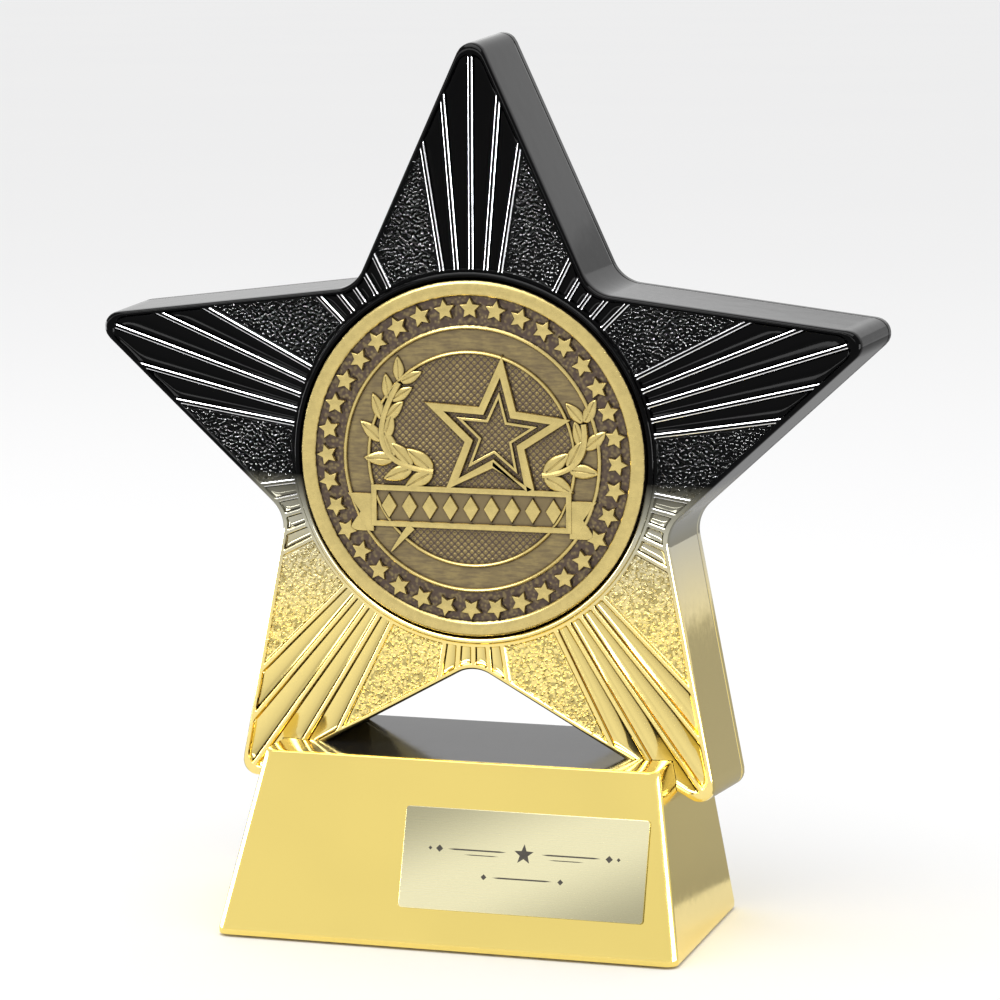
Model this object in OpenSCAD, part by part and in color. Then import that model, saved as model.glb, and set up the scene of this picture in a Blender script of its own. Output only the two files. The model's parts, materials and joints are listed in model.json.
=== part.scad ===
// Star award: a hollow moulded star with a relief medal, bolted to a weighted base.
// X is to the right, Y is to the back and Z is up. The origin is the middle of the footprint.

/* [Star] */
// Radius of the five sharp points of the front outline, before they are rounded
star_tip_r = 72.7; // [70:0.1:76]
// Radius of the five inner corners of the front outline
star_inner_r = 35; // [34.5:0.1:37]
// Front plane of the star to its back plane
star_depth = 20; // [18:0.5:26]
// How much larger the back outline is than the front one, from the mould's draft
star_growth = 0.019; // [0:0.001:0.03]
// Height of the star's centre
star_centre_z = 80.2; // [78:0.1:84]
// Rounding of the points
tip_round = 2.6; // [1:0.1:4]
// Rounding of the inner corners
inner_round = 6; // [4:0.5:7]
// Depth of the bevel round the front face
front_bevel = 0.8; // [0.5:0.1:1.5]
// How far that bevel leans in
bevel_lean = 0.4; // [0.2:0.1:0.6]
// Thickness of the side walls
star_wall = 2.2; // [1.6:0.1:2.6]
// Thickness of the front, behind the flutes and the medal
front_wall = 2; // [1.5:0.1:2.5]
// Thickness of the back cover
cover_t = 2; // [1.5:0.1:2.5]

/* [Relief] */
// Ribs in each fan
fan_ribs = 5; // [3:2:5]
// Angle between two ribs of a fan
rib_pitch = 4.58; // [4:0.01:5]
// Width of a rib
rib_w = 0.7; // [0.5:0.1:1]
// Depth of the flutes between ribs
flute_depth = 0.9; // [0.5:0.1:1.2]
// Depth of the textured panels between fans
panel_depth = 0.4; // [0.2:0.1:0.6]
// Plain border round the front face
border_w = 0.9; // [0.8:0.1:2]

/* [Medal] */
// Diameter of the medal
medal_d = 60; // [58:0.5:60]
// Thickness of the medal
medal_t = 2.6; // [2:0.1:3]
// How far the medal stands in front of the star's front plane
medal_proud = 1; // [0.5:0.1:1.4]
// Height of the medal's relief
relief_h = 0.5; // [0.3:0.1:0.8]
// Small stars round the medal
ring_stars = 36; // [12:1:40]
// Thickness of the foam pad behind it
foam_t = 0.6; // [0.4:0.1:1]
// Width of the raised bezel round it
bezel_w = 1.1; // [0.9:0.1:1.4]
// Height of the bezel above the front plane
bezel_h = 0.5; // [0.3:0.1:0.8]

/* [Base] */
// Width of the base at its foot
base_w = 80; // [78:1:84]
// Depth of the base at its foot
base_d = 43; // [42:1:48]
// Height of the base's top
base_h = 30.5; // [29:0.5:31]
// How far each end leans in
end_lean = 5.5; // [4.5:0.1:6]
// How far the front leans back
front_lean = 9.3; // [7:0.1:10]
// How far the back leans in
back_lean = 0.8; // [0.2:0.1:2]
// Plain upright lip at the foot
foot_lip = 1; // [0.5:0.1:2]
// Rounding of the base's upright edges
base_round = 2; // [1:0.1:3]
// Wall thickness of the base
base_wall = 2.4; // [2:0.1:2.6]
// Distance from the base's front foot back to the star's front plane
star_setback = 18.4; // [18:0.1:20]

/* [Plate] */
// Width of the engraving plate
plate_w = 42; // [36:1:46]
// Height of the engraving plate along the slope
plate_h = 17; // [14:0.5:20]
// Thickness of the engraving plate
plate_t = 0.5; // [0.3:0.1:0.8]
// Distance of the plate's centre to the right of the middle
plate_x = 13; // [8:0.5:14]
// Distance of the plate's centre up the slope
plate_up = 14.2; // [13:0.1:16]
// Thickness of its adhesive film
film_t = 0.15; // [0.1:0.05:0.25]

/* [Fittings] */
// Felt pad thickness
felt_t = 1.2; // [1:0.1:1.5]
// Bottom cover thickness
bottom_t = 2; // [1.5:0.1:2.5]
// Ballast width, depth and height
ballast_size = [56, 22, 12];
// Distance of the leg bolts from the middle
leg_bolt_x = 29.2; // [28.8:0.1:29.4]
// Radius of the circle of the back cover's screws
cover_screw_r = 46; // [42:0.5:48]

/* [Hidden] */

$fn = 64;
cut = 0.01;               // overshoot that keeps a cut clean
gap = 0.05;               // clearance between pieces that rest on each other
points = 5;
point_turn = 360 / points;
medal_r = medal_d / 2;
medal_clear = 0.35;       // radial gap round the medal
recess_depth = medal_t - medal_proud + foam_t;
foam_margin = 3;          // how far the pad stays inside the medal's edge
bezel_in = medal_r + medal_clear;
bezel_out = bezel_in + bezel_w;
field_in = bezel_out + 0.5;           // inner end of the flutes and panels
fan_half = rib_pitch * (fan_ribs - 1) / 2;
tip_steps = 8;
inner_steps = 6;
front_y = -base_d / 2 + star_setback;
split_depth = star_depth - cover_t;   // where the front shell meets the back cover
foot_z = 0.4;             // foot of the base shell above the table
lip_z = foot_z + foot_lip;
lean_angle = atan(front_lean / (base_h - lip_z));
top_w = base_w - 2 * end_lean;

black = [0.03, 0.03, 0.035];
gold = [0.88, 0.72, 0.32];
antique = [0.62, 0.53, 0.3];
champagne = [0.85, 0.8, 0.6];
steel = [0.6, 0.61, 0.63];
grey = [0.3, 0.3, 0.32];

// back cover screws and the bosses that take them
cover_boss_r = 3.2;
cover_screw = [1.25, 9, 2.4, 1.3];    // shank radius, length, head radius, head height
cover_head_sink = 1.4;
// leg bolts
bolt_r = 1.5;
bolt_len = 12;
bolt_head = [2.75, 2];                // radius, height
washer = [3, 0.5];                    // radius, thickness
insert_r = 2.1;
insert_len = 6;
leg_boss_r = 3;
leg_boss_h = 12;
// bottom cover screws and their posts
post_r = 3.2;
post_top = 13;
post_x = 32;
post_y = [-13.5, 16];
foot_screw = [1.5, 9, 2.8, 1.4];      // shank radius, length, head radius, head height
ballast_screw_x = 20;
ballast_screw_len = 7;
bottom_z = felt_t;
bottom_inset = base_wall + 0.2;
felt_inset = base_wall + 0.6;
ballast_z = bottom_z + bottom_t;
ballast_y = 1.5;

function polar(r, a) = [r * cos(a), r * sin(a)];
// distance of the outline's edges from the centre, and the half angle of a point
edge_d = star_tip_r * star_inner_r * sin(point_turn / 2)
         / norm(polar(star_tip_r, 0) - polar(star_inner_r, point_turn / 2));
point_half = asin(edge_d / star_tip_r);
inner_turn = 90 - point_half - point_turn / 2;   // half the turn at an inner corner
front_scale = 1 - bevel_lean / edge_d;
bevel_scale = front_scale + bevel_lean / edge_d * (split_depth + cut) / front_bevel;
function growth_at(depth) = 1 + star_growth * depth / star_depth;

// ---- star geometry, in a frame with X right, Y up and Z towards the viewer ----

module star_frame() translate([0, front_y, star_centre_z]) rotate([90, 0, 0]) children();

// Rounded points and rounded inner corners, as arcs joined by straight edges
function outline_points() = [for (k = [0:points - 1], tip = [true, false])
    let (axis = 90 + point_turn * (tip ? k : k + 0.5),
         middle = tip ? star_tip_r - tip_round / sin(point_half) : star_inner_r + inner_round / cos(inner_turn),
         r = tip ? tip_round : inner_round,
         start = tip ? axis - (90 - point_half) : axis + 180 + inner_turn,
         turn = tip ? 2 * (90 - point_half) : -2 * inner_turn,
         steps = tip ? tip_steps : inner_steps)
    for (i = [0:steps]) polar(middle, axis) + polar(r, start + turn * i / steps)];

// Every edge is equally far from the centre, so an inset outline is a smaller copy
module star_outline(inset = 0) scale((edge_d - inset) / edge_d) polygon(outline_points());

// The star between two depths behind the front plane, growing towards the back
module star_slab(near, far, inset = 0)
    translate([0, 0, -far])
    linear_extrude(height = far - near, scale = growth_at(near) / growth_at(far))
    scale(growth_at(far)) star_outline(inset);

// The front shell's outside: the slab, with its front edge bevelled by a steeper one
module bevelled_slab() intersection() {
    star_slab(-cut, split_depth);
    translate([0, 0, -split_depth - cut])
        linear_extrude(height = split_depth + cut, scale = front_scale / bevel_scale)
        scale(bevel_scale) star_outline();
}

module at_cover_screws()
    for (k = [0:points - 1]) rotate(90 + point_turn * k) translate([cover_screw_r, 0, 0]) children();

// Distance from the centre to the field's edge, at an angle from a point's axis
function field_r(a) = (edge_d - border_w) / cos(90 - point_half - a);

// A point on one side of a radial rib
function beside_rib(r, a, side) = polar(r, a) + polar(side * rib_w / 2, a + 90);

// A pocket in the front between the ribs at angles a0 and a1
module pocket(a0, a1, depth) translate([0, 0, -depth]) linear_extrude(depth + cut)
    polygon([beside_rib(field_r(a0), a0, 1), beside_rib(field_r(a1), a1, -1),
             beside_rib(field_in, a1, -1), polar(field_in + cut, (a0 + a1) / 2),
             beside_rib(field_in, a0, 1)]);

// Flutes beside a point's axis and beside an inner corner's, and the panel between them
module half_point_pockets() {
    for (i = [0:(fan_ribs - 3) / 2]) {
        pocket(rib_pitch * i, rib_pitch * (i + 1), flute_depth);
        pocket(point_turn / 2 - rib_pitch * (i + 1), point_turn / 2 - rib_pitch * i, flute_depth);
    }
    pocket(fan_half, point_turn / 2 - fan_half, panel_depth);
}

module face_pockets() for (k = [0:points - 1]) rotate(90 + point_turn * k) {
    half_point_pockets();
    mirror([0, 1, 0]) half_point_pockets();
}

module bezel() rotate_extrude() {
    translate([bezel_in, -front_wall]) square([bezel_w, front_wall + bezel_h - bezel_w / 2]);
    translate([bezel_in + bezel_w / 2, bezel_h - bezel_w / 2]) circle(r = bezel_w / 2);
}

// ---- base geometry ----

// The base as a solid, grown or shrunk by g on all sides
module base_block(g = 0, low_z = foot_z) hull() {
    base_corners(low_z, base_w + 2 * g, -base_d / 2 - g, base_d / 2 + g);
    base_corners(lip_z, base_w + 2 * g, -base_d / 2 - g, base_d / 2 + g);
    base_corners(base_h + g, top_w + 2 * g, -base_d / 2 + front_lean - g, base_d / 2 - back_lean + g);
}

module base_corners(z, w, y_front, y_back)
    for (x = [-w / 2 + base_round, w / 2 - base_round], y = [y_front + base_round, y_back - base_round])
        translate([x, y, z - cut]) cylinder(r = base_round, h = cut, $fn = 24);

module rounded_rect(w, d, r) {
    square([w - 2 * r, d], center = true);
    square([w, d - 2 * r], center = true);
    for (x = [-1, 1], y = [-1, 1]) translate([x * (w / 2 - r), y * (d / 2 - r)]) circle(r = r);
}

module at_posts() for (x = [-post_x, post_x], y = post_y) translate([x, y, 0]) children();

module at_leg_bolts()
    for (x = [-leg_bolt_x, leg_bolt_x]) translate([x, front_y + star_depth / 2, 0]) children();

module at_ballast_screws()
    for (x = [-ballast_screw_x, ballast_screw_x]) translate([x, ballast_y, 0]) children();

// The sloping front: X right, Y up the slope, Z out of it
module slope_frame()
    translate([0, -base_d / 2, lip_z]) rotate([90 - lean_angle, 0, 0]) children();

// ---- fasteners ----

module cross_recess(r, depth) for (a = [0, 90]) rotate(a)
    translate([-r, -r / 5, -cut]) cube([2 * r, 2 * r / 5, depth + cut]);

// Pan-head screw, head at the bottom, shank up from z = 0, with a short point
module pan_screw(s) difference() {
    union() {
        cylinder(r = s[0], h = s[1] - s[0]);
        translate([0, 0, s[1] - s[0]]) cylinder(r1 = s[0], r2 = s[0] / 4, h = s[0]);
        translate([0, 0, -s[3]]) cylinder(r1 = s[2] * 0.8, r2 = s[2], h = s[3] / 2);
        translate([0, 0, -s[3] / 2]) cylinder(r = s[2], h = s[3] / 2);
    }
    translate([0, 0, -s[3]]) cross_recess(s[2] * 0.6, s[3] * 0.6);
}

// Countersunk screw, head face at z = 0, shank up
module flat_screw(s) difference() {
    union() {
        cylinder(r1 = s[2], r2 = s[0], h = s[3]);
        cylinder(r = s[0], h = s[1] - s[0]);
        translate([0, 0, s[1] - s[0]]) cylinder(r1 = s[0], r2 = s[0] / 4, h = s[0]);
    }
    cross_recess(s[2] * 0.6, s[3] * 0.6);
}

module flat_screw_hole(s, depth) {
    translate([0, 0, -cut]) cylinder(r = s[0] + 0.15, h = depth + 2 * cut);
    translate([0, 0, -cut]) cylinder(r1 = s[2] + 0.1, r2 = s[0] + 0.1, h = s[3] + cut);
}

// ---- nodes ----

module star_front_shell() color(black) difference() {
    union() {
        difference() {
            star_frame() union() {
                bevelled_slab();
                bezel();
            }
            difference() {
                star_frame() star_slab(front_wall + flute_depth, split_depth + cut, star_wall);
                base_block(star_wall);
                star_frame() translate([0, 0, -recess_depth - front_wall])
                    cylinder(r = bezel_out, h = front_wall);
            }
        }
        star_frame() at_cover_screws()
            translate([0, 0, -split_depth]) cylinder(r = cover_boss_r, h = split_depth - front_wall);
        at_leg_bolts() translate([0, 0, base_h]) cylinder(r = leg_boss_r, h = leg_boss_h);
    }
    base_block(gap);
    star_frame() {
        translate([0, 0, -recess_depth]) cylinder(r = bezel_in, h = recess_depth + bezel_h + cut);
        face_pockets();
        at_cover_screws() translate([0, 0, -split_depth - cut])
            cylinder(r = cover_screw[0] - 0.15, h = cover_screw[1]);
    }
    at_leg_bolts() {
        translate([0, 0, base_h - cut]) cylinder(r = insert_r, h = insert_len + gap + cut);
        translate([0, 0, base_h - cut]) cylinder(r = bolt_r + 0.1, h = bolt_len);
    }
}

module star_back_cover() color(black) difference() {
    star_frame() union() {
        star_slab(split_depth + gap, star_depth);
        difference() {
            star_slab(split_depth - 1, split_depth + gap, star_wall + 0.15);
            star_slab(split_depth - 1 - cut, split_depth + 2 * gap, star_wall + 1.4);
        }
    }
    base_block(gap);
    difference() {
        base_block(star_wall + 0.15);
        translate([-base_w, front_y + split_depth + gap, 0]) cube([2 * base_w, base_d, star_centre_z]);
    }
    star_frame() at_cover_screws() {
        translate([0, 0, -star_depth - cut]) cylinder(r = cover_screw[0] + 0.2, h = 2 * cover_t);
        translate([0, 0, -star_depth - cut]) cylinder(r = cover_screw[2] + 0.2, h = cover_head_sink);
    }
}

module back_cover_screws() color(steel) star_frame() at_cover_screws()
    translate([0, 0, -star_depth + cover_head_sink]) pan_screw(cover_screw);

module five_point(r, ratio = 0.42)
    polygon([for (k = [0:2 * points - 1]) polar(k % 2 ? r * ratio : r, 90 + point_turn / 2 * k)]);

module medal() color(antique) star_frame() translate([0, 0, medal_proud - medal_t]) {
    field = medal_t - relief_h;
    cylinder(r = medal_r - 0.3, h = 0.4);
    translate([0, 0, 0.3]) cylinder(r = medal_r, h = field - 0.3);
    translate([0, 0, field - cut]) linear_extrude(relief_h + cut) {
        for (ring = [[1, 0.915], [0.75, 0.73], [0.61, 0.59]]) difference() {
            circle(r = medal_r * ring[0]);
            circle(r = medal_r * ring[1]);
        }
        for (k = [0:ring_stars - 1]) rotate(360 / ring_stars * k)
            translate([0, medal_r * 0.845]) five_point(medal_r * 0.067);
        translate([medal_r * 0.03, medal_r * 0.05]) difference() {
            five_point(medal_r * 0.56);
            five_point(medal_r * 0.4);
        }
    }
}

module medal_foam_pad() color("white") star_frame() translate([0, 0, -recess_depth])
    cylinder(r = medal_r - foam_margin, h = foam_t);

module base_shell() color(gold) difference() {
    union() {
        difference() {
            base_block();
            base_block(-base_wall, foot_z - 1);
        }
        at_posts() translate([0, 0, ballast_z]) cylinder(r = post_r, h = post_top - ballast_z);
    }
    at_posts() translate([0, 0, bottom_z]) cylinder(r = foot_screw[0] - 0.2, h = foot_screw[1] + 0.5);
    at_leg_bolts() translate([0, 0, base_h - 2 * base_wall]) cylinder(r = bolt_r + 0.3, h = 3 * base_wall);
}

module base_ballast() color(grey) difference() {
    translate([0, ballast_y, ballast_z])
        linear_extrude(ballast_size[2]) rounded_rect(ballast_size[0], ballast_size[1], base_round);
    at_ballast_screws() translate([0, 0, bottom_z]) cylinder(r = foot_screw[0] + 0.02, h = ballast_screw_len + 0.5);
}

module ballast_screws() color(steel) at_ballast_screws() translate([0, 0, bottom_z])
    flat_screw([foot_screw[0], ballast_screw_len, foot_screw[2], foot_screw[3]]);

module base_bottom_cover() color(black) difference() {
    translate([0, 0, bottom_z]) linear_extrude(bottom_t)
        rounded_rect(base_w - 2 * bottom_inset, base_d - 2 * bottom_inset, base_round);
    at_posts() translate([0, 0, bottom_z]) flat_screw_hole(foot_screw, bottom_t);
    at_ballast_screws() translate([0, 0, bottom_z]) flat_screw_hole(foot_screw, bottom_t);
}

module bottom_cover_screws() color(steel) at_posts() translate([0, 0, bottom_z]) flat_screw(foot_screw);

module felt_pad() color("darkgreen") linear_extrude(felt_t)
    rounded_rect(base_w - 2 * felt_inset, base_d - 2 * felt_inset, base_round);

module leg_bolts() color(steel) at_leg_bolts()
    translate([0, 0, base_h - base_wall - washer[1] - 2 * gap]) {
        cylinder(r = bolt_r, h = bolt_len);
        difference() {
            translate([0, 0, -bolt_head[1]]) cylinder(r = bolt_head[0], h = bolt_head[1]);
            translate([0, 0, -bolt_head[1]]) cross_recess(bolt_head[0] * 0.6, bolt_head[1] * 0.6);
        }
    }

module leg_washers() color(steel) at_leg_bolts()
    translate([0, 0, base_h - base_wall - washer[1] - gap]) difference() {
        cylinder(r = washer[0], h = washer[1]);
        translate([0, 0, -cut]) cylinder(r = bolt_r + 0.15, h = washer[1] + 2 * cut);
    }

module leg_inserts() color("goldenrod") at_leg_bolts() translate([0, 0, base_h + gap]) difference() {
    cylinder(r = insert_r, h = insert_len);
    translate([0, 0, -cut]) cylinder(r = bolt_r + 0.02, h = insert_len + 2 * cut);
}

module engraving_plate() color(champagne) slope_frame() translate([plate_x, plate_up, film_t])
    linear_extrude(plate_t) rounded_rect(plate_w, plate_h, 0.6);

module plate_adhesive() color("white") slope_frame() translate([plate_x, plate_up, 0])
    linear_extrude(film_t) rounded_rect(plate_w - 1, plate_h - 1, 0.5);

star_front_shell();
star_back_cover();
back_cover_screws();
medal();
medal_foam_pad();
base_shell();
base_ballast();
ballast_screws();
base_bottom_cover();
bottom_cover_screws();
felt_pad();
leg_bolts();
leg_washers();
leg_inserts();
engraving_plate();
plate_adhesive();
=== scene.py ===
"""Looks of the star award: a plated star with a relief medal, on a plated base.

Lengths in the classes are millimetres; meshes are written in metres, in the frame
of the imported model: X right, Y back, Z up. Star pieces are drawn in the star's own
frame first: u right, v up, w towards the viewer, from the middle of its front plane.
"""

import json
import logging
import math
from dataclasses import dataclass, field
from enum import Enum
from functools import partial
from typing import Callable, Sequence

import bpy
import numpy as np
from mathutils import Matrix, Vector

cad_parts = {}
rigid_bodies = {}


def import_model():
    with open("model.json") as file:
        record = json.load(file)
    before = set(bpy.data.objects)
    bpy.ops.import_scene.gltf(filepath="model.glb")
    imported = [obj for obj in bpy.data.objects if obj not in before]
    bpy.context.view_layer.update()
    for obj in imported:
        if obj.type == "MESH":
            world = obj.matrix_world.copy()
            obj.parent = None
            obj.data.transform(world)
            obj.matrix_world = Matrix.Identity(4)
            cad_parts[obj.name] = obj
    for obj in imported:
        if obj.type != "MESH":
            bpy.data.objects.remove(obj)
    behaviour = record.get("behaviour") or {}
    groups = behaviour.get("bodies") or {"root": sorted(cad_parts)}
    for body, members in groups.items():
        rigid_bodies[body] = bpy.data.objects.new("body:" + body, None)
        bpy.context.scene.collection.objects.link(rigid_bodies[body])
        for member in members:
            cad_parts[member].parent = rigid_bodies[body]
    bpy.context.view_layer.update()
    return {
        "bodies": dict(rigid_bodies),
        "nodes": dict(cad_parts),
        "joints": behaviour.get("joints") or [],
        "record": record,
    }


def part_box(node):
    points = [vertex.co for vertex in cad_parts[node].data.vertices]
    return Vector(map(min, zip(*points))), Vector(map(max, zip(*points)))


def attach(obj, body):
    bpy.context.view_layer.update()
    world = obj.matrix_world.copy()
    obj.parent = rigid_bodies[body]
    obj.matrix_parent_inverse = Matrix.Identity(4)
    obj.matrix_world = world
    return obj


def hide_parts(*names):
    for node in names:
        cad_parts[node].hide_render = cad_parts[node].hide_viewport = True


LOG = logging.getLogger("star_award")
MM = 0.001
POINTS = 5
TURN = 360.0 / POINTS
# The camera: azimuth, elevation and roll in degrees, its place in millimetres from the star, and its lens
CAMERA_TURN = (16.783, 8.574, -0.268)
CAMERA_EYE = (188.33, -608.23, 89.07)
CAMERA_LENS = 138.4
# Radiance of the side strips and of the two small lights on the upper grains
STRIP, GLINT = 16, 800
SHEET_RADIUS, SHEET_TONE = 0.8, 0.42


class Slot(Enum):
    """Material slots of the record."""

    STAR = "star_plating"
    BASE = "base_plating"
    MEDAL = "medal_metal"
    PLATE = "plate_metal"
    FOAM = "adhesive_foam"
    STEEL = "screw_steel"
    BRASS = "insert_brass"
    IRON = "ballast_iron"
    COVER = "cover_plastic"
    FELT = "felt"


# ---------------------------------------------------------------- node helpers


class Board:
    """A material's node tree with short ways to add and join nodes."""

    def __init__(self, name: str) -> None:
        """Starts an empty material with an output and a Principled shader.

        Args:
            name: The material's name.
        """
        self.material = bpy.data.materials.new(name)
        self.material.use_nodes = True
        self.tree = self.material.node_tree
        self.tree.nodes.clear()
        out = self.tree.nodes.new("ShaderNodeOutputMaterial")
        self.shader = self.tree.nodes.new("ShaderNodeBsdfPrincipled")
        self.tree.links.new(self.shader.outputs[0], out.inputs["Surface"])
        self._coords = None

    def add(self, kind: str, **settings: object) -> bpy.types.Node:
        """Adds a node.

        Args:
            kind: Blender's node type.
            **settings: Properties to set on the node.

        Returns:
            The new node.
        """
        node = self.tree.nodes.new(kind)
        for key, value in settings.items():
            setattr(node, key, value)
        return node

    def feed(self, node: bpy.types.Node, socket: object, value: object) -> None:
        """Sets a node's input to a constant, or links another node's output to it.

        Args:
            node: The node.
            socket: Name or index of its input.
            value: A constant, or an output socket.
        """
        if isinstance(value, bpy.types.NodeSocket):
            self.tree.links.new(value, node.inputs[socket])
        else:
            node.inputs[socket].default_value = value

    def coords(self) -> bpy.types.NodeSocket:
        """Returns the Object coordinates."""
        if self._coords is None:
            self._coords = self.add("ShaderNodeTexCoord")
        return self._coords.outputs["Object"]

    def axis(self, index: int) -> bpy.types.NodeSocket:
        """Returns one axis of the Object coordinates.

        Args:
            index: 0 for X, 1 for Y, 2 for Z.
        """
        node = self.add("ShaderNodeSeparateXYZ")
        self.feed(node, 0, self.coords())
        return node.outputs[index]

    def math(self, operation: str, a: object, b: object = 0.0, c: object = 0.0) -> bpy.types.NodeSocket:
        """Adds a Math node and returns its result.

        Args:
            operation: Blender's name of the operation.
            a: First value or socket.
            b: Second value or socket.
            c: Third value or socket.
        """
        node = self.add("ShaderNodeMath", operation=operation)
        for i, value in enumerate((a, b, c)):
            self.feed(node, i, value)
        return node.outputs[0]

    def span(self, value: object, low: float, high: float, to_low: float = 0.0,
             to_high: float = 1.0) -> bpy.types.NodeSocket:
        """Maps a range smoothly to another and returns the result.

        Args:
            value: The socket to map.
            low: Where the range starts.
            high: Where it ends.
            to_low: The result at the start.
            to_high: The result at the end.
        """
        node = self.add("ShaderNodeMapRange", interpolation_type="SMOOTHSTEP")
        for i, item in enumerate((value, low, high, to_low, to_high)):
            self.feed(node, i, item)
        return node.outputs[0]

    def noise(self, scale: float, detail: float = 2.0, rough: float = 0.5,
              stretch: Sequence[float] = (1, 1, 1)) -> bpy.types.NodeSocket:
        """Adds noise on the Object coordinates and returns its value.

        Args:
            scale: Features per metre.
            detail: Octaves.
            rough: Strength of the finer octaves.
            stretch: Scale of each axis.
        """
        place = self.add("ShaderNodeMapping")
        self.feed(place, "Vector", self.coords())
        self.feed(place, "Scale", stretch)
        node = self.add("ShaderNodeTexNoise")
        self.feed(node, "Vector", place.outputs[0])
        self.feed(node, "Scale", scale)
        self.feed(node, "Detail", detail)
        self.feed(node, "Roughness", rough)
        return node.outputs[0]

    def ramp(self, factor: object, stops: Sequence[tuple[float, Sequence[float]]]) -> bpy.types.NodeSocket:
        """Adds a colour ramp and returns its colour.

        Args:
            factor: The socket that drives it.
            stops: Positions and RGB colours.
        """
        node = self.add("ShaderNodeValToRGB")
        items = node.color_ramp.elements
        while len(items) < len(stops):
            items.new(0.5)
        for item, (place, colour) in zip(items, stops):
            item.position = place
            item.color = (*colour, 1.0)
        self.feed(node, 0, factor)
        return node.outputs[0]

    def mix(self, factor: object, a: object, b: object, blend: str = "MIX") -> bpy.types.NodeSocket:
        """Mixes two colours and returns the result.

        Args:
            factor: Share of the second colour.
            a: First RGB colour or socket.
            b: Second RGB colour or socket.
            blend: Blender's blend type.
        """

        def colour(v: object) -> object:
            """Returns a socket as it is, and an RGB colour with its alpha.

            Args:
                v: An RGB colour or a socket.
            """
            return v if isinstance(v, bpy.types.NodeSocket) else (*v, 1.0)

        node = self.add("ShaderNodeMix", data_type="RGBA", blend_type=blend)
        self.feed(node, 0, factor)
        self.feed(node, 6, colour(a))
        self.feed(node, 7, colour(b))
        return node.outputs[2]

    def bump(self, height: object, depth: float, strength: float = 1.0,
             under: object = None) -> bpy.types.NodeSocket:
        """Adds a bump and returns its normal.

        Args:
            height: Height from 0 to 1.
            depth: What 1 stands for, in metres.
            strength: Share of the bump.
            under: Normal of a bump below this one.
        """
        node = self.add("ShaderNodeBump")
        self.feed(node, "Strength", strength)
        self.feed(node, "Distance", depth)
        self.feed(node, "Height", height)
        if under is not None:
            self.feed(node, "Normal", under)
        return node.outputs[0]

    def finish(self, **inputs: object) -> bpy.types.Material:
        """Sets the shader's inputs and returns the material.

        Args:
            **inputs: Values or sockets by input name, with _ for a space.
        """
        for key, value in inputs.items():
            name = key.replace("_", " ")
            if name == "Base Color" and not isinstance(value, bpy.types.NodeSocket):
                value = (*value, 1.0)
            self.feed(self.shader, name, value)
        return self.material


# -------------------------------------------------------------------- finishes


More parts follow.
